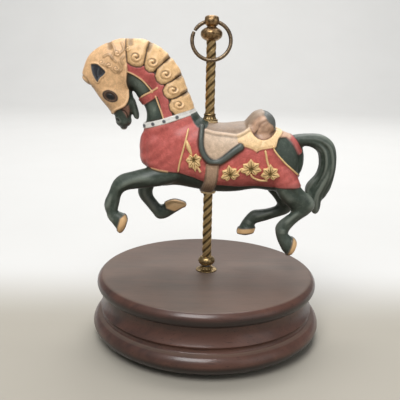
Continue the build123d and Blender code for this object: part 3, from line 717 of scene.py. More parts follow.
EAR_FOLD = ((-69.4, 168.0), (-69.6, 171.2), (-69.0, 175))
EAR = ((-73.6, 176.6), (-72, 177.4), (-69.6, 177.2), (-66.8, 175.2), (-64.8, 173.0), (-66.0, 171.0),
       (-68.2, 169.2), (-69.6, 167.0), (-71.2, 168.6), (-72.8, 171.8))
MOUTH = ((-57.2, 149.6), (-55.4, 148.8), (-54.3, 147.2), (-53.6, 144.6))
LIPS = ((-58.0, 150.6), (-52.6, 152.8), (-52.3, 149.4), (-53.3, 146.4), (-54.4, 144.6), (-55.6, 147.0))

HEM = ((-44, 115.8), (-41.5, 114.8), (-36, 113.2), (-30, 112.4), (-20, 112.0), (-10, 109.4), (-5, 107.4),
       (5, 104.8), (20, 103.8), (30, 104.2), (45, 103.6), (58, 103.4))
RUMP_EDGE = ((41.6, 130.5), (42.4, 127.6), (45.7, 123.6), (50, 119.3), (55, 115), (59.6, 111.0))
CLOTH = ((-54, 158), (-54, 116.4)) + HEM + ((61.4, 103.4), (61.4, 109.6)) + RUMP_EDGE[::-1] + ((40, 158),)
PIPING = ((-14.0, 140.0), (-16.4, 130), (-19.3, 119.3), (-20.6, 112.4))
BLANKET = ((15.0, 136.6), (20, 139.0), (24, 142.0), (26, 148), (47, 148), (48.2, 136.6), (44.6, 133.4),
           (43.2, 128.9), (37.2, 128.2), (33.4, 127.6), (31.0, 126.2), (28.8, 127.6), (26, 128.6),
           (22, 129.6), (18.6, 132.0))
PAD_EDGE = ((-5.5, 139.4), (-5.8, 132.2), (-4.9, 126.8), (-2.3, 122.5), (1.0, 120.0), (5.0, 119.4),
            (8.8, 121.0), (12.7, 123.7), (16.6, 126.5), (20.5, 128.9))
FLAP = PAD_EDGE + ((18.6, 132.4), (18.0, 135.4), (10.7, 135.8), (3.6, 136.4), (-3.2, 138.0))
SEAT = ((-3.2, 138.0), (3.6, 136.4), (10.7, 135.8), (17.9, 135.4), (22.6, 137.0), (26.4, 139.4),
        (30.0, 141.4), (33.0, 145.0), (35.2, 146.8), (36.4, 156), (-6, 156), (-6, 141))
SEAT_EDGE = ((-2.9, 137.8), (3.6, 136.3), (10.7, 135.7), (17.9, 135.3), (22.8, 137.0), (26.8, 139.4),
             (30.4, 142.4), (34.0, 146.6))
POMMEL = ((-13.5, 146.8), (-9.6, 140.6), (-4.4, 138.4), (-1.2, 141.2), (-3.4, 150), (-12, 150))
CHEST_TRIM = ((-38, 113.9), (-33, 112.9), (-27.5, 112.4))
BLANKET_FOLD = ((31.6, 126.2), (32.8, 129.0), (34.4, 132.5))
ROLL_SHADE = ((28.6, 137.4), (33, 133.6), (38, 132.8), (43, 135.0))
GIRTH = ((2.4, 119), (1.6, 108), (0.2, 101), (-1.2, 94))
GIRTH_HALF = 4.3
GIRTH_TOP = 118.6
CRUPPER = ((44.0, 137.4), (48.6, 137.2), (53.2, 134.6), (56.6, 130.6), (59.4, 125.6))
CAP = ((31.6, 153), (33.0, 149.4), (35.8, 147.4), (38.0, 144.2), (40.8, 142.2), (42.0, 139.0),
       (48, 139.2), (45, 153))
HOOVES = (
    (-1, ((-57.6, 70.4), (-56.9, 75.5), (-55.6, 80.6), (-52.2, 83.4), (-47, 81), (-47, 72), (-51, 66),
          (-57.0, 66))),
    (1, ((-28.4, 91.5), (-27.6, 86.0), (-26.4, 83.2), (-21, 81.6), (-15.4, 84.2), (-10, 85), (-12, 92),
         (-20, 93))),
    (-1, ((52.6, 53), (53.9, 58.5), (55.7, 63.5), (56.8, 68.8), (59.4, 70.4), (64, 66), (60, 54))),
    (1, ((18, 69.9), (24, 69.8), (28, 70.4), (36.5, 70.8), (36.5, 67.0), (28, 66.6), (18, 66.0))),
)
# Leaves as (x, z, reach, turn in degrees from tip up, width to height).
LEAVES = ((14.2, 111.6, 6.2, 10, 1.0), (27.8, 115.4, 6.4, 4, 1.05), (40.2, 112.4, 6.3, 0, 0.95),
          (-10.2, 120.6, 6.9, 190, 0.74))
STEMS = (
    ((18.4, 112.6), (21.0, 115.4), (24.4, 116.0)),
    ((27.4, 112.6), (29.4, 110.2), (33.6, 108.4), (39.0, 108.2)),
    ((36.4, 127.6), (37.2, 124.4), (37.9, 121.0), (39.6, 116.6)),
    ((-8.2, 117.0), (-6.6, 114.8), (-5.6, 112.9)),
)
BUD = ((-15.4, 133.4), (-13.8, 128.6), (-11.4, 123.4))
STEM_R = 0.7
PIPING_R = 0.58
BUD_R = 1.35


def collar_distance(skin):
    """How far each point is above the collar's lower edge, across the collar."""
    line = np.array(COLLAR_LOW)
    low = np.interp(skin.x, line[:, 0], line[:, 1])
    ahead = np.interp(skin.x + 1.0, line[:, 0], line[:, 1]) - low
    return (skin.z - low) / np.hypot(1.0, ahead)


def tendons(skin, moss):
    """Raises or sinks the skin along each cord as a smooth bell that fades at both ends, and paints
    a highlight on the raised ones."""
    for sign, line, half, height in CORDS:
        distance, along = skin.band_and_way(line, half)
        fade = smooth(along, 0.0, 0.3) * smooth(1.0 - along, 0.0, 0.3)
        part = smooth(distance, -half, half) * fade * smooth(skin.y * sign, 1.5, 3.5)
        skin.rise += height * part
        # painted highlight on the raised cords
        skin.tint(moss, max(height, 0.0) * part)


def paint_straps(skin, paint):
    """Red straps on the neck, browned in patches, with gold edges."""
    x, y, z = skin.x, skin.y, skin.z
    for line, half in STRAPS:
        distance = skin.band(line, half)
        skin.lay(distance, paint["red"], 0.8, edge=0.6, where=smooth(x, -53.4, -52.6))
        skin.lay(distance - 0.5, paint["rust"], soft=0.5, share=0.3 * (1.0 + waves(x, y, z, 1.6, 5)))
    for line in STRAP_EDGES:
        skin.lay(skin.band(line, 0.5), paint["gold"], 1.15, edge=0.5, soft=0.18)


def paint_mane(skin, paint, side):
    """Hood and mane plates. A plate swells from its edge and is combed by two crossed sines; each
    curl is a cosine of the distance from its eye less the angle round it, which makes a spiral."""
    x, z = skin.x, skin.z
    skin.lay(skin.zone(HOOD), paint["tan"], 1.1, edge=0.8)
    for index, plate in enumerate(PLATES):
        distance = skin.zone(plate, room=6.0)
        skin.lay(distance, paint["mane"], 1.15 + 0.5 * side * smooth(distance, 0.0, 2.2), edge=0.6)
        streak = np.sin(1.1 * (x * 0.75 - z * 0.66) + index) * np.sin(0.5 * (x + z))
        skin.rise += 0.14 * streak * smooth(distance, 0.5, 2.0)
        skin.rise -= 0.42 * np.exp(-((distance / 0.55) ** 2)) * side
        skin.lay(0.4 - np.abs(distance + 0.1), paint["brown"], soft=0.3, where=side, share=0.6)
        skin.lay(2.2 - np.abs(distance), paint["olive"], soft=1.0, where=side * (distance > 0), share=0.22)
    for cx, cz, reach in CURLS:
        away = np.hypot(x - cx, (z - cz) * 1.15)
        turn = np.arctan2(z - cz, x - cx)
        coil = np.cos(FULL_TURN * away / reach * 0.85 - turn + 0.6)
        fade = smooth(reach * 1.3 - away, 0.0, reach * 0.5) * side
        skin.rise += (1.0 * (1.0 - away / reach / 1.5) + 0.6 * coil) * fade * min(1.0, reach / 3.0)
        skin.tint(paint["olive"], 0.18 * reach * smooth(-coil, 0.0, 0.9) * fade)
        skin.tint(paint["gold"], 0.6 * smooth(coil, 0.2, 0.9) * fade)
    for line in SCROLLS:
        distance = skin.band(line, 0.5)
        skin.lay(0.45 - np.abs(distance), paint["olive"], soft=0.35, where=side, share=0.5)
        skin.rise += 0.3 * smooth(distance, -0.8, 0.5) * side
    for line in NOTCHES:
        distance = skin.band(line, 1.5)
        skin.lay(distance, paint["olive"], soft=1.1, share=0.75)
        skin.rise -= 0.35 * smooth(distance, -0.8, 1.0)


def paint_face(skin, paint, side):
    """Brow, ear, eye in its dark hole, the hood's hem, mouth and nostril."""
    brow = skin.band(BROW, 0.4)
    skin.lay(brow, paint["olive"], soft=0.4, share=0.5)
    skin.rise -= 0.4 * smooth(brow, -0.8, 0.3)
    ear = skin.zone(EAR, rounded=True)
    skin.lay(ear + 0.7, paint["gold"], 1.8, edge=0.8)
    skin.lay(ear, paint["slate"], 1.0, edge=0.8)
    skin.lay(ear - 0.9, paint["black"], 0.6, soft=0.7, share=0.35)
    skin.rise += 0.5 * smooth(skin.band(EAR_FOLD, 0.5), -0.6, 0.3)
    eye = skin.oval(-62.9, 158.3, 4.5, 3.2, -24)
    skin.lay(eye + 0.2, paint["bark"], 1.2, edge=0.8, soft=0.25)
    skin.lay(0.35 - np.abs(eye - 0.75), paint["brown"], soft=0.25, share=0.9)
    skin.lay(eye - 1.2, paint["bark"], 0.5, edge=1.1, soft=0.25)
    pupil = skin.oval(-63.0, 157.9, 2.4, 1.6, -24)
    skin.lay(pupil, paint["black"], 0.9, edge=0.8, soft=0.25)
    skin.rise += 0.4 * smooth(skin.band(HOOD_HEM, 0.35), -0.6, 0.2) * side
    skin.lay(skin.zone(LIPS), paint["flesh"], soft=0.6, where=side, share=0.85)
    mouth = skin.band(MOUTH, 0.1)
    skin.lay(mouth + 0.2, paint["bark"], soft=0.3, where=side, share=0.8)
    skin.rise -= 0.7 * np.exp(-((mouth / 0.5) ** 2)) * (mouth > -3.0)
    nose = skin.oval(-60.6, 143.4, 1.3, 0.8, -38)
    skin.lay(nose, paint["black"], soft=0.35, where=side, share=0.6)
    skin.rise += (0.5 * smooth(nose, -1.3, -0.1) - 1.2 * smooth(nose, -0.2, 0.6)) * side


def paint_neck(skin, paint):
    """Neck and head as coats of relief, with the studded collar last. Under the collar the surface
    sinks into the body."""
    x, y, z = skin.x, skin.y, skin.z
    side = smooth(np.abs(skin.normal[:, 1]), 0.12, 0.45)
    skin.rise += waves(x, y * 0.5, z, 7.0, 3) * 0.2
    paint_straps(skin, paint)
    paint_mane(skin, paint, side)
    paint_face(skin, paint, side)
    # painted highlight (sheen) on the green of the neck
    sheen = np.maximum(skin.oval(-44.2, 166.6, 6.0, 3.0, -52), skin.oval(-37.4, 151.0, 2.6, 3.6, 0))
    green = smooth(0.25 - np.abs(skin.paint - paint["green"]).sum(axis=1), 0.15, 0.25)
    skin.lay(sheen, paint["moss"], soft=2.4, where=green, share=0.75)
    height = collar_distance(skin)
    collar = np.minimum(height, COLLAR_WIDE - height)
    skin.lay(collar, paint["white"], 1.35, edge=0.7, soft=0.22)
    skin.lay(0.3 - np.abs(height), paint["gold"], soft=0.25, share=0.7)
    for px, pz in STUDS:
        dot = 1.1 - np.hypot(x - px, z - pz)
        skin.lay(dot, paint["slate"], 1.75, edge=0.5, soft=0.25)
    skin.sink(4.0, smooth(-height, -0.5, 0.3))


def paint_cloth(skin, paint):
    """Red cloth with soft folds, browner in patches that also sit in the hollows of the fine folds as
    painted shade, and browned towards its edges as painted shade; its chest trim, the crupper strap
    and the saddle blanket."""
    x, y, z = skin.x, skin.y, skin.z
    cloth = skin.zone(CLOTH, room=3.0)
    skin.lay(cloth, paint["red"], 0.9, edge=0.6, soft=0.22)
    folds = np.sin(0.24 * x + 0.42 * z + 1.1 * waves(x, y, z, 9.0, 11))
    fine = np.sin(0.5 * x - 0.9 * z + 1.6 * waves(x, y, z, 5.0, 13))
    skin.rise += (0.15 * folds + 0.08 * fine) * smooth(cloth, 0.5, 3.0)
    # rust patches: partly random tone, partly painted shade in the hollows of the fine folds
    worn = smooth(waves(x, y, z, 4.5, 17) - 0.4 * fine, 0.1, 1.1)
    skin.lay(cloth, paint["rust"], soft=0.5, share=0.34 * worn)
    # painted shade towards the cloth's edges
    skin.lay(2.4 - cloth, paint["rust"], soft=1.6, where=cloth > 0.0, share=0.5)
    skin.lay(skin.band(CHEST_TRIM, 0.5), paint["gold"], 1.0, soft=0.3, share=0.75)
    strap, along = skin.band_and_way(CRUPPER, 1.9)
    over_croup = (z > 134.5) & (x > 42.0) & (x < 54.0)
    strap = np.where(over_croup, 1.0, strap)
    skin.lay(strap, paint["rust"], 0.9, edge=0.6)
    skin.lay(strap - 0.6, paint["red"], soft=0.4, where=along > 0.5, share=0.6)
    skin.lay(strap - 0.3, paint["leather"], soft=0.4, where=smooth(-along, -0.55, -0.45))
    blanket = skin.zone(BLANKET)
    skin.lay(blanket, paint["ochre"], 1.6, edge=0.6)
    skin.lay(0.35 - np.abs(blanket - 1.0), paint["gold"], soft=0.3, where=z < 132.0, share=0.8)
    skin.rise -= 0.45 * np.exp(-(skin.band(BLANKET_FOLD, 0.1) / 0.6) ** 2)


def paint_roll(skin, paint):
    """Creased leather roll with a dark cap, painted shade in its creases and between its lumps, and a
    painted highlight on the tops of its lumps. Returns how far each point belongs to its ends.
    """
    x, y, z = skin.x, skin.y, skin.z
    away = np.hypot(x - ROLL_PLACE[0], z - ROLL_PLACE[1])
    on_roll = smooth(ROLL_R + 0.9 - away, -0.5, 0.5) * smooth(z, 131.0, 133.0)
    ends = smooth(np.abs(y), ROLL_HALF - 5.0, ROLL_HALF - 2.0) * on_roll
    skin.tint(paint["leather"], on_roll)
    skin.rise *= 1.0 - on_roll
    lumps = waves(x, y, z, 1.7, 21) + 0.6 * waves(x, y, z, 0.95, 22)
    crease = np.exp(-((waves(x, y, z, 2.6, 24) / 0.16) ** 2))
    skin.rise += 0.55 * (lumps - crease) * on_roll
    leather = on_roll * 4.0 - 2.0
    # painted shade in the creases and the hollows between the lumps
    dark = 0.35 * smooth(-lumps, 0.2, 1.2) + 0.3 * crease
    skin.lay(leather, paint["bark"], soft=0.5, share=dark)
    # painted highlight on the tops of the lumps
    skin.lay(leather, paint["flap"], soft=0.5, share=0.35 * smooth(lumps, 0.4, 1.4))
    skin.lay(skin.zone(CAP), paint["slate_green"], 0.9, edge=0.8, where=on_roll)
    skin.lay(skin.band(ROLL_SHADE, 1.3), paint["rust"], soft=0.9, where=ends, share=0.35)
    return ends


def paint_saddle(skin, paint, clear):
    """Seat, scuffed flap, pommel and thick pad edge, then the girth. The seat keeps clear of the
    roll's ends."""
    x, y, z = skin.x, skin.y, skin.z
    skin.lay(skin.zone(SEAT), paint["seat"], 1.45, edge=0.6, where=clear)
    flap = skin.zone(FLAP)
    skin.lay(flap, paint["flap"], 1.5, edge=0.6)
    scuffs = smooth(waves(x, y, z, 3.0, 31), 0.0, 1.2)
    skin.lay(flap - 1.0, paint["seat"], soft=1.0, share=0.45 * scuffs)
    skin.lay(skin.zone(POMMEL, rounded=True), paint["pad"], 1.5, edge=0.9)
    skin.lay(skin.band(SEAT_EDGE, 0.7), paint["flap"], 2.2, edge=0.7, where=clear, share=0.6)
    # painted shadow: a dark line just under the seat's raised edge
    under = skin.band(np.array(SEAT_EDGE) - (0.0, 1.3), 0.3)
    skin.lay(under, paint["bark"], soft=0.4, where=clear, share=0.5)
    edge, along = skin.band_and_way(PAD_EDGE, 1.6)
    edge = edge + 0.6 * along
    swell = 1.5 + 1.3 * np.sqrt(np.clip(edge / 1.7, 0.0, 1.0))
    skin.lay(edge, paint["pad"], swell, edge=0.5)
    skin.lay(0.35 - np.abs(edge), paint["black"], soft=0.3, share=0.7)
    girth = np.minimum(skin.band(GIRTH, GIRTH_HALF), GIRTH_TOP - z)
    skin.lay(girth, paint["girth"], 1.35, edge=0.5)
    skin.lay(1.1 - girth, paint["brown"], soft=0.6, where=girth > -0.3, share=0.6)
    skin.lay(np.minimum(girth, 105.0 - z), paint["brown"], soft=3.0, share=0.3)
    skin.rise += 0.14 * np.cos(np.clip(girth, 0.0, GIRTH_HALF) * 4.2) * smooth(girth, 0.2, 0.8)


def comb_tail(skin, paint):
    """Locks along the tail: two sines of the distance from its middle line, drifting along it."""
    x, y, z = skin.x, skin.y, skin.z
    stations = np.array(TAIL)
    gap, along = near_line((stations[:, 0:2] + stations[:, 2:4]) / 2.0, x, z)
    on_tail = smooth(x, 58.0, 62.0) * smooth(8.0 - np.abs(y), 0.0, 1.5) * (z > 80.0)
    on_tail *= smooth(9.5 - gap, 0.0, 1.0)
    signed = gap * np.sign((x - 60.0) + (z - 110.0) * 0.2)
    hair = np.sin(1.05 * signed + 0.5 * np.abs(y) + 6.0 * along)
    hair += 0.45 * np.sin(2.3 * signed - 9.0 * along + 1.0)
    skin.rise += 0.6 * hair * on_tail * smooth(along, 0.1, 0.35) * smooth(1.0 - along, 0.0, 0.12)
    # painted highlight on the crests of the locks
    skin.tint(paint["moss"], 0.4 * smooth(hair, 0.3, 1.4) * on_tail)


def paint_hooves(skin, paint):
    """Each hoof with a dark rim and pale gold sides."""
    for sign, outline in HOOVES:
        side = smooth(skin.y * sign, 1.5, 3.5)
        hoof = skin.zone(outline)
        facing = smooth(np.abs(skin.normal[:, 1]), 0.15, 0.4)
        skin.lay(hoof + 0.3, paint["bark"], 0.7, edge=0.5, where=side, share=0.85)
        skin.lay(hoof - 0.45, paint["hoof"], soft=0.4, where=side * facing, gilt=0.5)


def paint_body(skin, paint):
    """Body, legs and tail as coats of relief. Above the collar's line the surface sinks into the
    neck."""
    x, y, z = skin.x, skin.y, skin.z
    skin.rise += waves(x, y, z, 6.5, 8) * 0.16
    tendons(skin, paint["moss"])
    paint_cloth(skin, paint)
    roll_ends = paint_roll(skin, paint)
    paint_saddle(skin, paint, 1.0 - roll_ends)
    comb_tail(skin, paint)
    paint_hooves(skin, paint)
    line = np.array(COLLAR_LOW)
    low = np.interp(x, line[:, 0], line[:, 1])
    skin.sink(3.5, smooth(z - low, 1.4, 2.6) * smooth(-x, 7.0, 9.0))


def paint_underside_shade(skin):
    """Painted shade: colours sink to two fifths of their strength where the surface looks down, and to a
    quarter on the sides of the far and near legs that face each other."""
    down = smooth(-skin.normal[:, 2], 0.05, 0.95)
    between = smooth(-np.sign(skin.y) * skin.normal[:, 1], 0.3, 0.9) * smooth(-skin.z, -101.0, -78.0)
    between *= smooth(skin.z, 76.0, 96.0)
    # painted shade on downward faces and on the leg sides that face each other
    skin.paint *= (1.0 - 0.75 * np.maximum(0.8 * down, between))[:, None]


def gathered(x, z):
    """Draws the casting's length together: the trunk and the root of the neck close on the pole by
    a hyperbolic tangent of their distance from it, the legs lean back, and the tail stays."""
    high = smooth(z, 92.0, 112.0)
    moved = 2.6 * np.tanh(x / 40.0) * high * smooth(-z, -168.0, -142.0) + 1.3 * (1.0 - high)
    return x - moved * (1.0 - smooth(x, 60.0, 70.0))


class SideMap:
    """How far the casting's side stands out from its middle plane, by place: a raster of the
    largest |y| with its holes filled from their neighbours."""

    CELL = 0.7

    def __init__(self, skin, sign):
        keep = skin.y * sign > 0.0
        self.low = np.array([skin.x.min(), skin.z.min()]) - 2.0
        self.shape = ((np.array([skin.x.max(), skin.z.max()]) + 2.0 - self.low) / self.CELL).astype(int) + 2
        column = ((skin.x[keep] - self.low[0]) / self.CELL).astype(int)
        row = ((skin.z[keep] - self.low[1]) / self.CELL).astype(int)
        flat = np.zeros(self.shape[0] * self.shape[1])
        np.maximum.at(flat, column * self.shape[1] + row, np.abs(skin.y[keep]))
        grid = flat.reshape(self.shape)
        for _ in range(3):
            shifted = [np.roll(grid, step, axis) for axis in (0, 1) for step in (-1, 1)]
            grid = np.where(grid > 0.0, grid, np.max(shifted, axis=0))
        self.grid = grid

    def at(self, x, z):
        """Bilinear reading of the raster."""
        u = (np.asarray(x) - self.low[0]) / self.CELL - 0.5
        v = (np.asarray(z) - self.low[1]) / self.CELL - 0.5
        i, j = np.floor(u).astype(int), np.floor(v).astype(int)
        a, b = u - i, v - j
        g = self.grid
        return (g[i, j] * (1 - a) * (1 - b) + g[i + 1, j] * a * (1 - b)
                + g[i, j + 1] * (1 - a) * b + g[i + 1, j + 1] * a * b)


LOBE_TURN = (0, 9, 20, 30, 42, 52, 64, 74, 86, 98, 108, 118, 130, 142, 154, 166, 180)
LOBE_REACH = (1.06, 0.88, 0.78, 0.74, 0.84, 0.96, 0.82, 0.76, 0.88, 1.0, 0.86, 0.72, 0.68, 0.72, 0.56, 0.42,
              0.32)
LOBE_AXES = (0.0, 52.0, -52.0, 98.0, -98.0, 140.0, -140.0)


def vine_leaf(place, x, z, reach, tilt, narrow, sign):
    """Seven-lobed leaf laid on the side: polar rows whose outer reach follows the lobes; each lobe
    swells along its middle, sinks towards its neighbours and turns down at the edge."""
    turn = np.linspace(-math.pi, math.pi, 180, endpoint=False)
    lobes = np.interp(np.abs(np.degrees(turn)), LOBE_TURN, LOBE_REACH) * reach
    outwards, tucked_under, tuck = np.linspace(0.03, 1.0, 20), (1.03, 0.97, 0.6, 0.05), -1.2
    share = np.concatenate([outwards, tucked_under])[:, None]
    on_top = (np.arange(len(share)) <= len(outwards))[:, None]
    radius = share * lobes
    u, v = radius * np.sin(turn) * narrow, radius * np.cos(turn)
    c, s = math.cos(math.radians(tilt)), math.sin(math.radians(tilt))
    pz = z + v * c + u * s
    px = gathered(x - v * s + u * c, pz)
    swell, vein = np.zeros(radius.shape), np.zeros(radius.shape)
    for lobe in LOBE_AXES:
        angle = turn - math.radians(lobe)
        off = np.abs(np.sin(angle)) * radius
        ahead = np.cos(angle) > 0.6
        crown = np.sqrt(np.clip(1.0 - (np.sin(angle) / 0.46) ** 2, 0.0, 1.0))
        swell = np.maximum(swell, crown * ahead)
        vein = np.maximum(vein, np.exp(-(off / 0.28) ** 2) * ahead * (share < 0.8))
    top = 0.7 + (0.35 + 0.75 * swell) * smooth(share, 0.1, 0.55) - 0.85 * smooth(share, 0.85, 1.03)
    rise = np.where(on_top, top - 0.3 * vein * (share < 0.9), tuck)
    grid = np.stack([px, sign * (place.at(px, pz) + rise), pz], axis=-1)
    points, faces = tube_mesh(grid)
    # painted light: high on the lobes' crowns and outer edges as highlight, low in the veins as shade
    rim = np.clip(0.1 + 0.8 * swell * smooth(share, 0.0, 0.3) + 0.5 * smooth(share, 0.7, 0.95)
                  - 0.75 * vein, 0.0, 1.0)
    return points, faces, np.concatenate([rim.ravel(), [0.0, 0.0]])


def laid_strand(place, line, radius, sign, lift=0.35, taper=6.0):
    """Round strand on the side: circles along a smooth line, their centres just above the skin,
    thinning at both ends as a square root."""
    path = through(line, 14 * len(line))
    path[:, 0] = gathered(path[:, 0], path[:, 1])
    ahead = np.gradient(path, axis=0)
    ahead /= np.linalg.norm(ahead, axis=1)[:, None]
    across = np.stack([-ahead[:, 1], ahead[:, 0]], axis=1)
    share = np.linspace(0.0, 1.0, len(path))
    size = radius * np.sqrt(np.clip(4.0 * np.minimum(share, 1.0 - share) * taper, 0.05, 1.0))
    sides = 12
    turn = ring(sides)
    depth = place.at(path[:, 0], path[:, 1]) + lift
    grid = np.empty((len(path), sides, 3))
    grid[:, :, 0] = path[:, 0:1] + across[:, 0:1] * size[:, None] * np.cos(turn)
    grid[:, :, 2] = path[:, 1:2] + across[:, 1:2] * size[:, None] * np.cos(turn)
    grid[:, :, 1] = sign * (depth[:, None] + size[:, None] * np.sin(turn))
    return tube_mesh(grid)


# ------------------------------------------------------------------ turned and twisted pieces
POLE_BORE = 1.62
HOLE_HEIGHT = 11.7
FELT_TOP = 1.2
CAVITY_R = 47.0
CAVITY_FLOOR = 16.5
COVER_R = 56.0
DECK = 6.0
SPINDLE_HOLE_R = 4.0
DISC_LOW = 32.6
TORUS_R = 71.2


def base_profile(top, wide):
    """Half-section of the turned base from the felt up: torus foot, bead groove, cove and a
    round-edged top disc, then the spindle's hole, the movement's cavity and the cover's recess."""
    torus = ((64.8, FELT_TOP), (68.2, 2.1), (71.9, 4.1), (75.0, 6.9), (wide, 9.9), (75.5, 12.9),
             (73.7, 15.2), (71.7, 16.3))
    under = top - DECK
    return np.vstack([
        through(torus, 60), polyline(((70.9, 16.5), (70.5, 16.7)), 0.3),
        arc_through((70.4, 16.9), (69.9, 18.4), (70.4, 20.0)), polyline(((70.7, 20.2), (71.1, 20.5)), 0.3),
        arc_through((71.1, 20.7), (68.2, 26.4), (67.5, 32.2)),
        polyline(((67.7, 32.5), (70.2, DISC_LOW)), 0.9),
        arc_through((70.5, 32.7), (73.3, 37.0), (71.5, 41.0)),
        arc_through((71.4, 41.1), (70.5, 41.8), (68.8, top), 8),
        polyline(((67.8, top), (SPINDLE_HOLE_R + 0.3, top)), 3.0),
        polyline(((SPINDLE_HOLE_R, top - 0.3), (SPINDLE_HOLE_R, under)), 2.0),
        polyline(((SPINDLE_HOLE_R + 0.3, under), (CAVITY_R - 0.2, under)), 6.0),
        polyline(((CAVITY_R, under - 0.2), (CAVITY_R, CAVITY_FLOOR + 0.2)), 4.0),
        polyline(((CAVITY_R + 0.2, CAVITY_FLOOR), (COVER_R - 0.2, CAVITY_FLOOR)), 3.0),
        polyline(((COVER_R, CAVITY_FLOOR - 0.2), (COVER_R, FELT_TOP + 0.4)), 4.0),
        polyline(((COVER_R + 0.4, FELT_TOP), (63.8, FELT_TOP)), 2.0)])


def twisted(low, high, radius, bore, starts, pitch, depth):
    """Tube of wound strands: the radius falls from each strand's crest like a circle's arc, the
    strands climb one pitch a turn, and a finer cord line runs along each. Returns the crest share."""
    row_step, sides, cords_a_strand, cord_depth = 0.28, 108, 3, 0.09
    rows = np.linspace(low, high, int((high - low) / row_step))
    theta, z = np.meshgrid(ring(sides), rows)
    phase = (starts * (theta / FULL_TURN - z / pitch)) % 1.0
    crest = np.sqrt(np.clip(1.0 - (2.0 * phase - 1.0) ** 2, 0.0, 1.0))
    cords = 0.5 + 0.5 * np.cos(FULL_TURN * phase * cords_a_strand)
    end = smooth(np.minimum(z - low, high - z), 0.0, 0.5)
    r = radius - depth * (1.0 - crest) * end - cord_depth * (1.0 - cords) * crest * end
    wall = np.stack([r * np.cos(theta), r * np.sin(theta), z], axis=-1)
    inner = np.stack([bore * np.cos(theta), bore * np.sin(theta), z], axis=-1)[::-1]
    grid = np.concatenate([wall, inner])
    worn = np.concatenate([(crest * (0.62 + 0.38 * cords)).ravel(), np.zeros(inner.shape[0] * sides)])
    return grid.reshape(-1, 3), grid_faces(len(grid), sides, wrap_rows=True, wrap_columns=True), worn


def round_moulding(points):
    """Closed half-section of a small turning: a smooth curve through outer points, and a straight
    bore from its last point back to its first."""
    outer = through(points, max(24, 7 * len(points)))
    back = polyline((outer[-1], outer[0]), 1.0)[1:-1]
    return np.vstack([outer, back]) if len(back) else outer


def flange_section(z, r):
    """Foot flange from its lowest height and rim radius: a thin rim, a cone and a rolled neck."""
    return round_moulding([(r - 0.3, z), (r, z + 0.25), (r - 0.15, z + 0.55), (r - 0.9, z + 0.75),
                           (4.9, z + 1.15), (4.1, z + 1.75), (3.95, z + 2.1), (4.2, z + 2.35),
                           (4.05, z + 2.65), (3.5, z + 2.8), (2.3, z + 2.8), (2.26, z + 0.02)])


def ball_section(middle, half, r):
    """Bored ball: angles from -78 to 78 degrees of an ellipse whose waist is slightly squared."""
    reach = 78.0
    tall = half / math.sin(math.radians(reach))
    outer = [(r * math.cos(a) ** 0.85, middle + tall * math.sin(a))
             for a in np.radians(np.linspace(-reach, reach, 9))]
    section = round_moulding(outer + [(POLE_BORE, middle + half)])
    section[0, 0] = POLE_BORE
    return section


def bell_section(z, r, top):
    """Bell collar from its lowest height, rim radius and top: a rolled rim, a bell and a bead."""
    return round_moulding([(2.4, z), (r - 0.35, z), (r, z + 0.35), (r - 0.2, z + 0.75), (r - 0.75, z + 1.0),
                           (4.25, z + 1.5), (3.85, z + 2.3), (3.62, z + 3.1), (3.75, z + 3.45),
                           (3.9, z + 3.8), (3.65, z + 4.2), (3.3, top), (POLE_BORE, top)])


def washer_section(z, r, top):
    """Rounded washer, widest just above its middle."""
    waist = (top - z) * 0.18
    return round_moulding([(POLE_BORE, z), (r - 0.9, z), (r - 0.35, z + waist), (r, (z + top) / 2.0 + waist),
                           (r - 0.15, top - waist * 0.6), (r - 0.7, top), (POLE_BORE, top)])


def finial_section(z, r, top):
    """Solid finial: a cushion on a neck with a tall pierced knob above it."""
    axis = 0.02
    return round_moulding([(axis, z), (3.4, z), (4.4, z + 0.45), (5.7, z + 1.35), (6.6, z + 2.7),
                           (r, z + 3.9), (6.6, z + 5.3), (5.7, z + 6.5), (4.3, z + 7.5), (3.3, z + 8.0),
                           (2.85, z + 8.3), (3.1, z + 8.7), (4.1, z + 9.6), (4.85, z + 10.9),
                           (4.95, z + 12.0), (4.6, z + 13.3), (3.9, z + 14.4), (2.8, top - 0.25),
                           (1.7, top - 0.05), (axis, top)])


def cross_drill(height):
    """Drill for the finial's cross hole, along X: its radius grows towards both ends by the drop
    of a wide circle, so that it leaves rounded lips."""
    reach, rows, sides, narrow, flare = 5.9, 31, 40, 1.35, 12.0
    x = np.linspace(-reach, reach, rows)
    bore = narrow + flare - np.sqrt(flare ** 2 - x ** 2)
    turn = ring(sides)
    grid = np.empty((rows, sides, 3))
    grid[:, :, 0] = x[:, None]
    grid[:, :, 1] = bore[:, None] * np.cos(turn)
    grid[:, :, 2] = height + bore[:, None] * np.sin(turn)
    return tube_mesh(grid)


def split_wire(height):
    """Split ring hanging from a height: a circle of wire, open by 5.2 degrees, whose plane leans
    about the X axis. The wire narrows a little beside its gap."""
    ring_r, wire, lean = 12.0, 1.2, math.radians(11.2)
    gap_at, gap_half = 152.0, 2.6
    turn = np.radians(np.linspace(gap_at + gap_half, gap_at - gap_half + 360.0, 220))
    round_wire = ring(28)
    flat = wire * (1.0 - 0.12 * smooth(np.abs(turn - turn.mean()), 2.9, 3.1))
    reach = ring_r + flat[:, None] * np.cos(round_wire)
    u = reach * np.cos(turn)[:, None]
    v = reach * np.sin(turn)[:, None] - ring_r
    w = flat[:, None] * np.sin(round_wire)
    y = w * math.cos(lean) + v * math.sin(lean)
    return tube_mesh(np.stack([u, y, height + v * math.cos(lean) - w * math.sin(lean)], axis=-1))


def make_turning(name, profile, body, slot, node, segments=96, shape=None):
    """A turned piece that stands for one node of the model."""
    points, faces = lathe(profile, segments, shape)
    return new_piece(name, points, faces, body, slot, (node,))


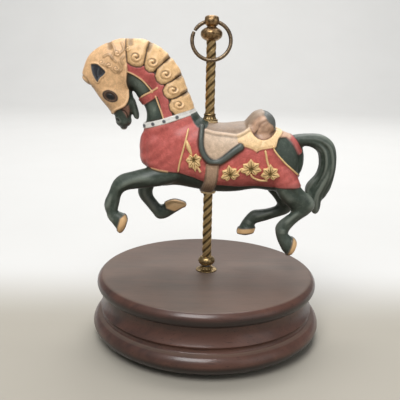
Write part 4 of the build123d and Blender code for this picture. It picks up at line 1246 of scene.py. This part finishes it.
def lobed(count, depth, low, high):
    """Flutes round a turning: the radius is cut by a cosine of the angle between two heights."""
    def shape(grid):
        turn = np.arctan2(grid[..., 1], grid[..., 0])
        height = grid[..., 2]
        weight = smooth(height, low, low + 0.3) * (1.0 - smooth(height, high - 0.3, high))
        radius = np.hypot(grid[..., 0], grid[..., 1])
        cut = depth * (0.5 - 0.5 * np.cos(count * turn)) * weight * smooth(radius, 2.6, 3.2)
        factor = (radius - cut) / radius
        return np.stack([grid[..., 0] * factor, grid[..., 1] * factor, height], axis=-1)
    return shape


# ------------------------------------------------------------------ finishes
def wood_finish(dark, light):
    """Dark red-brown stained wood: long grain streaks, short pores and a cloudy stain. The lacquer
    is glossy where the piece marks polish; elsewhere a dusty grey stands both for a dusty film and
    for a painted reflection of the pale surroundings, and painted shade darkens it where the piece
    marks shade."""
    dust_and_reflection = (0.235, 0.200, 0.165)
    wood = Finish("mahogany_finish", light, 0.5, Coat_Roughness=0.22, Coat_IOR=1.5,
                  Specular_IOR_Level=0.3)
    grain = wood.noise(1.0, 6.0, 0.6, at=wood.stretched(14.0, 150.0, 60.0), warp=0.5)
    figure = wood.noise(1.0, 3.0, 0.5, at=wood.stretched(6.0, 34.0, 20.0), warp=1.2)
    pores = wood.noise(1.0, 2.0, 0.5, at=wood.stretched(90.0, 2300.0, 1100.0))
    cloud = wood.noise(22.0, 3.0)
    mix = (grain * 0.55 + figure * 0.45).step(0.30, 0.68)
    colour = wood.mix(mix, dark, light)
    colour = wood.mix(cloud.step(0.35, 0.7) * 0.45, colour, scaled(light, 1.35))
    pore = pores.step(0.60, 0.72)
    colour = wood.mix(pore * 0.55, colour, scaled(dark, 0.35))
    polish = wood.attribute("polish")
    # dusty grey on the upward faces: partly a painted reflection of the pale surroundings
    colour = wood.mix(0.34 - polish * 0.34, colour, dust_and_reflection)
    # painted shade where the shade attribute is high
    colour = wood.mix(wood.attribute("shade") * 0.88, colour, scaled(dark, 0.3))
    wood.set("Base Color", colour)
    wood.set("Coat Weight", polish * 0.62)
    wood.set("Roughness", 0.50 + cloud * 0.10 + pore * 0.12)
    wood.bump(grain * 0.4 - pore * 0.6, 0.25, 0.00012)
    return wood


def metal_finish(name, crest, hollow, rough=0.34, worn=None, spots=900.0):
    """Aged metal, spots to the metre: bright where the attribute named by worn marks it as rubbed
    and dark in the hollows, or without one in patches, with spots of tarnish."""
    metal = Finish(name, crest, rough, Metallic=1.0)
    tarnish = metal.noise(spots, 5.0, 0.62)
    if worn:
        mask = (metal.attribute(worn) * 1.15 + tarnish * 0.35 - 0.18).step(0.25, 0.95)
    else:
        cloud = metal.noise(spots * 0.22, 3.0)
        mask = (tarnish * 0.6 + cloud * 0.4).step(0.32, 0.62)
    metal.set("Base Color", metal.mix(mask, hollow, crest))
    metal.set("Roughness", rough + 0.28 - mask * 0.24)
    metal.bump(metal.noise(spots * 3.0, 3.0), 0.18, 0.00005)
    return metal


def steel_finish(name, colour, rough, along=(60.0, 2600.0, 2600.0)):
    """Plated or ground steel: fine drawn lines and a faint cloud."""
    steel = Finish(name, colour, rough, Metallic=1.0)
    lines = steel.noise(1.0, 3.0, 0.6, at=steel.stretched(*along))
    cloud = steel.noise(160.0, 3.0)
    steel.set("Base Color", steel.mix(cloud.step(0.3, 0.7), scaled(colour, 0.78), colour))
    steel.set("Roughness", rough + lines * 0.14 - 0.07)
    steel.bump(lines, 0.12, 0.00003)
    return steel


def felt_finish(colour):
    """Pressed felt: fluffy mottle of two scales and no gloss."""
    felt = Finish("felt_finish", colour, 0.96, Sheen_Weight=0.35, Sheen_Roughness=0.5)
    fluff = felt.noise(2600.0, 6.0, 0.75)
    cloud = felt.noise(300.0, 3.0)
    felt.set("Base Color", felt.mix((fluff * 0.7 + cloud * 0.3).step(0.3, 0.7),
                                    scaled(colour, 0.6), scaled(colour, 1.5)))
    felt.bump(fluff, 0.7, 0.0003)
    return felt


def board_finish(colour):
    """Pressed fibre board: long fibres in a speckle of light and dark."""
    board = Finish("hardboard_finish", colour, 0.72)
    fibre = board.noise(1.0, 5.0, 0.7, at=board.stretched(500.0, 1500.0, 1500.0, (0.0, 0.0, 0.6)))
    speck = board.noise(1800.0, 3.0)
    board.set("Base Color", board.mix((fibre * 0.6 + speck * 0.4).step(0.32, 0.68),
                                      scaled(colour, 0.6), scaled(colour, 1.35)))
    board.bump(fibre, 0.35, 0.0001)
    return board


def plastic_finish(colour):
    """Moulded plastic: faint flow marks in the gloss."""
    plastic = Finish("fly_plastic_finish", colour, 0.42)
    flow = plastic.noise(240.0, 3.0, warp=1.0)
    plastic.set("Base Color", plastic.mix(flow, scaled(colour, 0.9), colour))
    plastic.set("Roughness", 0.36 + flow * 0.14)
    return plastic


def cream_finish(colour):
    """Cream painted collar: yellowed in patches and faintly crazed."""
    cream = Finish("cream_finish", colour, 0.45)
    age = cream.noise(420.0, 4.0)
    specks = cream.noise(2600.0, 2.0).step(0.66, 0.74)
    yellowed = (colour[0] * 0.86, colour[1] * 0.74, colour[2] * 0.5)
    tone = cream.mix(age.step(0.35, 0.7), colour, yellowed)
    dirt = (0.20, 0.13, 0.07)
    cream.set("Base Color", cream.mix(specks * 0.4, tone, dirt))
    cream.set("Roughness", 0.38 + age * 0.2)
    cream.bump(age, 0.2, 0.0001)
    return cream


def resin_finish():
    """Hand-painted casting: the painted colour with brush mottle, a dark umber coat in the hollows
    that is antiquing and also painted shade, dry-brushed light on proud edges that is also a painted
    highlight, gilt where it is marked, and a satin surface."""
    resin = Finish("painted_resin_finish", (0.3, 0.2, 0.15), 0.5)
    colour = resin.attribute("paint", "Color")
    hollow = resin.attribute("hollow")
    gilt = resin.attribute("gilt")
    brush = resin.noise(420.0, 5.0, 0.65, warp=0.6)
    fine = resin.noise(2400.0, 3.0, 0.6)
    mottle = (brush * 0.65 + fine * 0.35).step(0.28, 0.72)
    black, chalk, umber = (0.0, 0.0, 0.0), (0.80, 0.76, 0.68), (0.034, 0.016, 0.006)
    shade = resin.mix(0.9, colour, black)
    lighter = resin.mix(0.10, colour, chalk)
    colour = resin.mix(0.42 - mottle * 0.42, colour, shade)
    colour = resin.mix((mottle - 0.62) * 1.1, colour, lighter)
    # dark umber in the hollows: antiquing and also painted shade
    wash_and_shade = hollow.step(0.04, 0.50) * (0.55 + brush * 0.55)
    stained = resin.mix(0.84, colour, umber)
    colour = resin.mix(wash_and_shade * 0.88, colour, stained)
    # dry-brushed light on proud edges: also a painted highlight
    proud = (brush * 0.24 - hollow).step(0.20, 0.70)
    colour = resin.mix(proud * 0.75, colour, lighter)
    resin.set("Base Color", colour)
    resin.set("Metallic", gilt * (0.35 + mottle * 0.65))
    resin.set("Roughness", 0.36 + mottle * 0.18 - gilt * 0.06)
    resin.bump(fine * 0.6 + brush * 0.4, 0.4, 0.00014)
    return resin


def gilt_finish():
    """Old gold paint on a raised leaf: pale as a painted highlight where the rim attribute is high,
    olive as painted shade where it is low.
    """
    pale, olive = (0.78, 0.53, 0.25), (0.150, 0.100, 0.026)
    gold = Finish("gilt_finish", pale, 0.45)
    rim = gold.attribute("rim")
    worn = gold.noise(1500.0, 4.0, 0.6)
    mask = (rim + worn * 0.5 - 0.25).step(0.15, 0.85)
    gold.set("Base Color", gold.mix(mask, olive, pale))
    gold.set("Metallic", worn * 0.25 + 0.1)
    gold.set("Roughness", 0.36 + worn * 0.22)
    gold.bump(worn, 0.3, 0.0001)
    return gold


def paper_finish():
    """Floor paper, faintly mottled: warm in front and pale where the back attribute is high."""
    paper = Finish("sweep_finish", (0.57, 0.56, 0.54), 0.8)
    mottle = paper.noise(6.0, 3.0)
    pale = paper.mix(mottle, (0.56, 0.555, 0.54), (0.60, 0.595, 0.58))
    warm = paper.mix(mottle, (0.325, 0.300, 0.255), (0.355, 0.330, 0.280))
    paper.set("Base Color", paper.mix(paper.attribute("back"), warm, pale))
    return paper


# ------------------------------------------------------------------ the stage
FADE_END = 0.12


def sweep_grid():
    """Floor that bends up into a wall, in metres: flat rows, a quarter circle, then straight up.
    It lies a hair under the felt."""
    bend, bend_at, columns, drop = 0.9, 1.7, 15, 0.0002
    turn = np.radians(np.linspace(0.0, 90.0, 19))[1:]
    flat = np.concatenate([[-3.0, -1.0], np.linspace(0.0, FADE_END, 9), [0.8, bend_at]])
    run = np.concatenate([flat, bend_at + bend * np.sin(turn), [bend_at + bend]])
    climb = np.concatenate([np.zeros(len(flat)), bend * (1.0 - np.cos(turn)), [4.0]])
    x, y = np.meshgrid(np.linspace(-3.5, 3.5, columns), run)
    z = np.repeat(climb[:, None], columns, axis=1) - drop
    return np.stack([x, y, z], axis=-1).reshape(-1, 3), grid_faces(len(run), columns)


def area_light(name, place, target, size, power):
    """Square soft light of a size in metres and a power in watts, turned towards a point."""
    light = bpy.data.lights.new(name, "AREA")
    light.size = size
    light.energy = power
    lamp = link_object(name, light)
    lamp.location = place
    lamp.rotation_mode = "QUATERNION"
    lamp.rotation_quaternion = (Vector(target) - lamp.location).to_track_quat("-Z", "Y")


# ------------------------------------------------------------------ what a user would change
def swatch(name, description, rgb):
    """Colour property with a default given in 0-255 screen values."""
    return FloatVectorProperty(name=name, description=description, subtype="COLOR", size=3,
                               min=0.0, max=1.0, default=linear(rgb))


def length(name, description, default, low, high):
    """Length property from millimetres, kept in metres."""
    return FloatProperty(name=name, description=description, unit="LENGTH", precision=5,
                         default=default * MM, min=low * MM, max=high * MM)


class HorsePaints(PropertyGroup):
    """Colours of the hand-painted casting."""

    green: swatch("Green", "Coat, muzzle, legs and tail", (58, 70, 60))
    moss: swatch("Moss", "Rubbed highlights of the green", (112, 124, 112))
    pad: swatch("Pad", "Edge of the saddle pad and pommel", (40, 56, 50))
    slate_green: swatch("Slate green", "Cap of the bedroll", (60, 66, 64))
    red: swatch("Red", "Cloth and straps", (204, 100, 92))
    rust: swatch("Rust", "Shaded edges of the red", (132, 46, 44))
    tan: swatch("Tan", "Hood", (238, 192, 142))
    mane: swatch("Mane", "Curled mane plates", (244, 200, 144))
    olive: swatch("Olive", "Notches in the crest", (126, 96, 60))
    ochre: swatch("Ochre", "Saddle blanket", (250, 212, 158))
    flap: swatch("Flap", "Saddle flap", (218, 190, 162))
    seat: swatch("Seat", "Saddle seat", (146, 122, 100))
    leather: swatch("Leather", "Bedroll and croup", (202, 162, 134))
    girth: swatch("Girth", "Girth strap", (192, 158, 130))
    slate: swatch("Slate", "Ear and collar studs", (48, 56, 66))
    white: swatch("White", "Studded collar", (228, 226, 220))
    gold: swatch("Gold", "Trim and piping", (224, 178, 124))
    hoof: swatch("Hoof", "Hooves", (236, 190, 132))
    flesh: swatch("Flesh", "Mouth", (158, 112, 92))
    brown: swatch("Brown", "Rim of the eye hole and edges of the girth", (92, 62, 40))
    bark: swatch("Bark", "Inside of the eye hole and deep folds", (48, 32, 22))
    black: swatch("Black", "Pupil and nostril", (14, 13, 13))


class HorseSizes(PropertyGroup):
    """How finely the casting is modelled."""

    body_voxel: length("Body detail", "Spacing of the body's points", 0.59, 0.3, 2.0)
    head_voxel: length("Head detail", "Spacing of the neck's and head's points", 0.38, 0.25, 2.0)
    body_rounds: IntProperty(name="Body softness", description="Rounds of smoothing on the body",
                             default=26, min=0, max=200)
    head_rounds: IntProperty(name="Head softness", description="Rounds of smoothing on the neck and head",
                             default=34, min=0, max=200)


class BrassSizes(PropertyGroup):
    """The twisted pole."""

    strands: IntProperty(name="Strands", description="Strands wound round the pole", default=3,
                         min=1, max=8)
    pitch: length("Pitch", "Height of one turn of a strand", 17.0, 2.0, 60.0)
    groove: length("Groove", "Depth between the strands", 0.62, 0.0, 1.4)
    crest: swatch("Rubbed brass", "Crests of the twist", (186, 158, 112))
    hollow: swatch("Tarnish", "Grooves of the twist", (48, 38, 22))


class WoodLook(PropertyGroup):
    """The stained base."""

    dark: swatch("Dark grain", "Grain and pores", (40, 20, 13))
    light: swatch("Light grain", "Between the grain", (82, 50, 38))


# ------------------------------------------------------------------ one operator for each piece
class MUSICBOX_OT_base(Operator):
    """Turned wooden base with its grain and satin lacquer"""

    bl_idname = "musicbox.base"
    bl_label = "Turned Base"

    def execute(self, context):
        look = context.scene.wood_look
        low, high = span("base_body")
        points, faces = lathe(base_profile(high[2], high[0]), 288)
        points = np.clip(points, low, high)
        base = new_piece("turned_base", points, faces, "base", "mahogany", ("base_body",))
        up = rows_of(base.data.vertex_normals, "vector")[:, 2]
        set_floats(base, "polish", 1.0 - smooth(up, 0.8, 0.98))
        # painted shade: darker where the surface faces down, more on the disc's rim and the torus's foot,
        # less in the cove
        height = points[:, 2]
        cove = (np.hypot(points[:, 0], points[:, 1]) < TORUS_R) * 0.65
        lip = ((height > DISC_LOW) | (height < 9.0)) * 0.3
        set_floats(base, "shade", smooth(lip - up, -0.35 + cove, 0.40 + cove))
        dress(base, wood_finish(look.dark, look.light))
        return {"FINISHED"}


class MUSICBOX_OT_pole(Operator):
    """Twisted sleeves, with flange, ball, bell and collars between them"""

    bl_idname = "musicbox.pole"
    bl_label = "Twisted Pole and Collars"

    def execute(self, context):
        sizes = context.scene.brass_sizes
        pitch, groove = sizes.pitch / MM, sizes.groove / MM
        brass = metal_finish("aged_brass", sizes.crest, sizes.hollow, 0.34, worn="crest")
        for name, node in (("twisted_sleeve_lower", "lower_pole_sleeve"),
                           ("twisted_sleeve_upper", "upper_pole_sleeve")):
            low, high = span(node)
            points, faces, worn = twisted(low[2], high[2], high[0], POLE_BORE, sizes.strands, pitch, groove)
            sleeve = new_piece(name, points, faces, "carousel", "antique_brass", (node,))
            set_floats(sleeve, "crest", worn)
            dress(sleeve, brass)

        turned = metal_finish("turned_brass", scaled(sizes.crest, 0.9), scaled(sizes.hollow, 1.8), 0.30)
        low, high = span("foot_flange")
        z, r = low[2], high[0] + 0.8
        flange = make_turning("foot_flange_turned", flange_section(z, r), "base", "antique_brass",
                              "foot_flange", 120, lobed(14, 0.45, z + 0.5, z + 2.2))
        low, high = span("foot_ball")
        middle, half = (low[2] + high[2]) / 2.0 + 0.8, (high[2] - low[2]) / 2.0 + 0.8
        knob = make_turning("foot_ball_turned", ball_section(middle, half, high[0] + 0.5), "carousel",
                            "antique_brass", "foot_ball")
        for piece in (flange, knob):
            dress(piece, turned)

        low, high = span("upper_collar")
        z = low[2]
        bell = make_turning("bell_collar", bell_section(z, high[0], high[2]), "carousel", "antique_brass",
                            "upper_collar", 120, lobed(12, 0.32, z + 0.9, z + 3.2))
        dress(bell, metal_finish("bell_brass", scaled(sizes.crest, 0.6), scaled(sizes.hollow, 1.2), 0.36))

        cream = cream_finish(linear((222, 200, 160)))
        for name, node in (("cream_collar_lower", "lower_collar"), ("cream_washer_upper", "upper_washer")):
            low, high = span(node)
            section = washer_section(low[2], high[0], high[2])
            dress(make_turning(name, section, "carousel", "cream_collar", node), cream)
        return {"FINISHED"}


class MUSICBOX_OT_finial(Operator):
    """Bronzed finial with its cross hole, and the split ring that hangs in it"""

    bl_idname = "musicbox.finial"
    bl_label = "Finial and Ring"

    def execute(self, context):
        low, high = span("finial")
        hole = low[2] + HOLE_HEIGHT
        points, faces = lathe(finial_section(low[2], high[0], high[2]), 128)
        finial = new_piece("finial_turned", np.clip(points, low, high), faces, "carousel", "dark_bronze",
                           ("finial",))
        drill = new_piece("drill", *cross_drill(hole), "carousel", "dark_bronze")
        drilled = finial.modifiers.new("cross_hole", "BOOLEAN")
        drilled.operation = "DIFFERENCE"
        drilled.solver = "EXACT"
        drilled.object = drill
        mesh = finished_mesh(finial)
        finial.modifiers.clear()
        finial.data = mesh
        bpy.data.objects.remove(drill)
        dress(finial, metal_finish("dark_bronze", linear((178, 146, 106)), linear((72, 54, 36)), 0.27,
                                   spots=620.0))

        low, high = span("finial_ring")
        points, faces = split_wire(hole)
        wire = new_piece("split_ring", np.clip(points, low, high), faces, "ring", "ring_wire",
                         ("finial_ring",))
        dress(wire, metal_finish("ring_wire", linear((138, 120, 98)), linear((56, 46, 38)), 0.34,
                                 spots=1100.0))
        return {"FINISHED"}


class MUSICBOX_OT_horse(Operator):
    """Painted horse: a body and a neck that meet under the studded collar, and laid-on gilt leaves"""

    bl_idname = "musicbox.horse"
    bl_label = "Painted Horse"

    def execute(self, context):
        sizes = context.scene.horse_sizes
        colours = context.scene.horse_paints
        paint = {key: np.array(getattr(colours, key)) for key in HorsePaints.__annotations__}
        low, high = span("horse")
        low, high = low + HORSE_ROOM, high - HORSE_ROOM
        low[1], high[1] = -HORSE_SIDE, HORSE_SIDE
        finish = resin_finish()

        bulk = [swept_ovals(TRUNK, power=2.4), swept_ovals(CANTLE), swept_ovals(NECK[:4]), swept_ovals(TAIL),
                rounded_roll(ROLL_PLACE, ROLL_R, ROLL_HALF),
                swept_ovals(NEAR_FORE, -LEG_Y), swept_ovals(FAR_FORE, LEG_Y),
                swept_ovals(NEAR_HIND, -LEG_Y), swept_ovals(FAR_HIND, LEG_Y)]
        body = Skin(fused("horse_body", bulk, sizes.body_voxel), paint["green"])
        body.relax(sizes.body_rounds)
        paint_body(body, paint)
        paint_underside_shade(body)
        dress(body.finished(low, high), finish)

        bulk = [swept_ovals(NECK, rings=90, sides=64), swept_ovals(HEAD, power=2.3), swept_ovals(JAW),
                ball(MUZZLE_PLACE, MUZZLE_RADII)]
        head = Skin(fused("horse_head", bulk, sizes.head_voxel), paint["green"])
        head.relax(sizes.head_rounds)
        paint_neck(head, paint)
        paint_underside_shade(head)
        dress(head.finished(low, high), finish)

        gold = gilt_finish()
        for sign, side in ((-1, "near"), (1, "far")):
            place = SideMap(body, sign)
            laid = [vine_leaf(place, *leaf, sign) for leaf in LEAVES]
            strands = [laid_strand(place, line, STEM_R, sign) for line in STEMS]
            strands += [laid_strand(place, line, PIPING_R, sign) for line in (PIPING, RUMP_EDGE)]
            bud = laid_strand(place, BUD, BUD_R, sign, lift=0.1, taper=0.55)
            points, faces = join_meshes([leaf[:2] for leaf in laid] + strands + [bud])
            rim = np.ones(len(points))
            shaded = np.concatenate([leaf[2] for leaf in laid])
            rim[:len(shaded)] = shaded
            leaves = new_piece("gilt_leaves_" + side, points, faces, "carousel", "painted_resin")
            set_floats(leaves, "rim", rim)
            dress(leaves, gold)
        return {"FINISHED"}


class MUSICBOX_OT_movement(Operator):
    """Finishes for the winding key, cover, felt and musical movement, whose shapes are the model's own"""

    bl_idname = "musicbox.movement"
    bl_label = "Movement and Underside"

    def execute(self, context):
        finishes = {
            "hardboard": board_finish((0.17, 0.095, 0.045)),
            "felt": felt_finish((0.035, 0.028, 0.025)),
            "plated_steel": steel_finish("plated_steel_finish", (0.62, 0.61, 0.58), 0.32),
            "cast_zinc": metal_finish("cast_zinc_finish", (0.46, 0.46, 0.45), (0.25, 0.25, 0.25), 0.5,
                                      spots=1500.0),
            "spring_steel": steel_finish("spring_steel_finish", (0.40, 0.42, 0.45), 0.28,
                                         (2400.0, 60.0, 2400.0)),
            "plain_brass": metal_finish("plain_brass_finish", (0.78, 0.56, 0.24), (0.42, 0.27, 0.10), 0.26,
                                        spots=700.0),
            "fly_plastic": plastic_finish((0.62, 0.60, 0.54)),
            "antique_brass": metal_finish("bush_brass_finish", (0.45, 0.33, 0.16), (0.12, 0.08, 0.03), 0.34),
        }
        for row in frame["record"]["subparts"]:
            node = frame["nodes"][row["node"]]
            if not node.hide_render:
                dress(node, finishes[row["material_slot"]])
        return {"FINISHED"}


class MUSICBOX_OT_stage(Operator):
    """Pale floor, soft lights, pale surroundings and the camera"""

    bl_idname = "musicbox.stage"
    bl_label = "Stage and Camera"

    def execute(self, context):
        scene = context.scene
        scene.view_settings.view_transform = "Standard"
        points, faces = sweep_grid()
        mesh = bpy.data.meshes.new("sweep")
        mesh.from_pydata(points.tolist(), [], faces)
        shade_smooth(mesh)
        sweep = link_object("sweep", mesh)
        set_floats(sweep, "back", smooth(points[:, 1], 0.0, FADE_END))
        dress(sweep, paper_finish())

        world = bpy.data.worlds.new("surroundings")
        world.use_nodes = True
        background = world.node_tree.nodes["Background"]
        background.inputs["Color"].default_value = (0.84, 0.85, 0.86, 1.0)
        background.inputs["Strength"].default_value = 0.40
        scene.world = world

        on_piece, on_wall = (0.0, 0.0, 0.11), (0.0, 2.4, 0.4)
        area_light("key_light", (-0.20, -0.75, 1.12), on_piece, 0.62, 13.5)
        area_light("fill_light", (0.95, -0.75, 0.55), on_piece, 0.9, 2.0)
        area_light("back_light", (0.25, 1.0, 1.0), on_piece, 0.8, 4.0)
        area_light("wall_light", (0.0, 0.9, 2.4), on_wall, 1.6, 62.0)

        eye = bpy.data.cameras.new("camera")
        eye.lens = 52.8
        eye.sensor_width = 36.0
        camera = link_object("camera", eye)
        camera.location = (-0.0052, -0.3780, 0.1826)
        downwards, sideways = 13.64, 1.1
        tilt = Matrix.Rotation(math.radians(90.0 - downwards), 4, "X")
        roll = Matrix.Rotation(math.radians(sideways), 4, "Z")
        camera.rotation_mode = "QUATERNION"
        camera.rotation_quaternion = (tilt @ roll).to_quaternion()
        scene.camera = camera
        return {"FINISHED"}


class MUSICBOX_PT_panel(Panel):
    """Lists the builders in the sidebar"""

    bl_label = "Carousel Music Box"
    bl_idname = "MUSICBOX_PT_panel"
    bl_space_type = "VIEW_3D"
    bl_region_type = "UI"
    bl_category = "Music Box"

    def draw(self, context):
        for operator in OPERATORS:
            self.layout.operator(operator.bl_idname)
        for group in GROUPS:
            box = self.layout.box()
            for key in GROUPS[group].__annotations__:
                box.prop(getattr(context.scene, group), key)


OPERATORS = (MUSICBOX_OT_stage, MUSICBOX_OT_base, MUSICBOX_OT_pole, MUSICBOX_OT_finial, MUSICBOX_OT_horse,
             MUSICBOX_OT_movement)
GROUPS = {"horse_paints": HorsePaints, "horse_sizes": HorseSizes, "brass_sizes": BrassSizes,
          "wood_look": WoodLook}


def register():
    """Registers the classes and hangs the settings on the scene."""
    for group in GROUPS.values():
        bpy.utils.register_class(group)
    for operator in OPERATORS:
        bpy.utils.register_class(operator)
    bpy.utils.register_class(MUSICBOX_PT_panel)
    for name, group in GROUPS.items():
        setattr(bpy.types.Scene, name, PointerProperty(type=group))


def unregister():
    """Undoes register."""
    for name in GROUPS:
        delattr(bpy.types.Scene, name)
    bpy.utils.unregister_class(MUSICBOX_PT_panel)
    for operator in OPERATORS:
        bpy.utils.unregister_class(operator)
    for group in GROUPS.values():
        bpy.utils.unregister_class(group)


def main():
    """Builds everything in order."""
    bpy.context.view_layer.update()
    register()
    for operator in OPERATORS:
        family, action = operator.bl_idname.split(".")
        getattr(getattr(bpy.ops, family), action)()


if __name__ == "__main__":
    main()
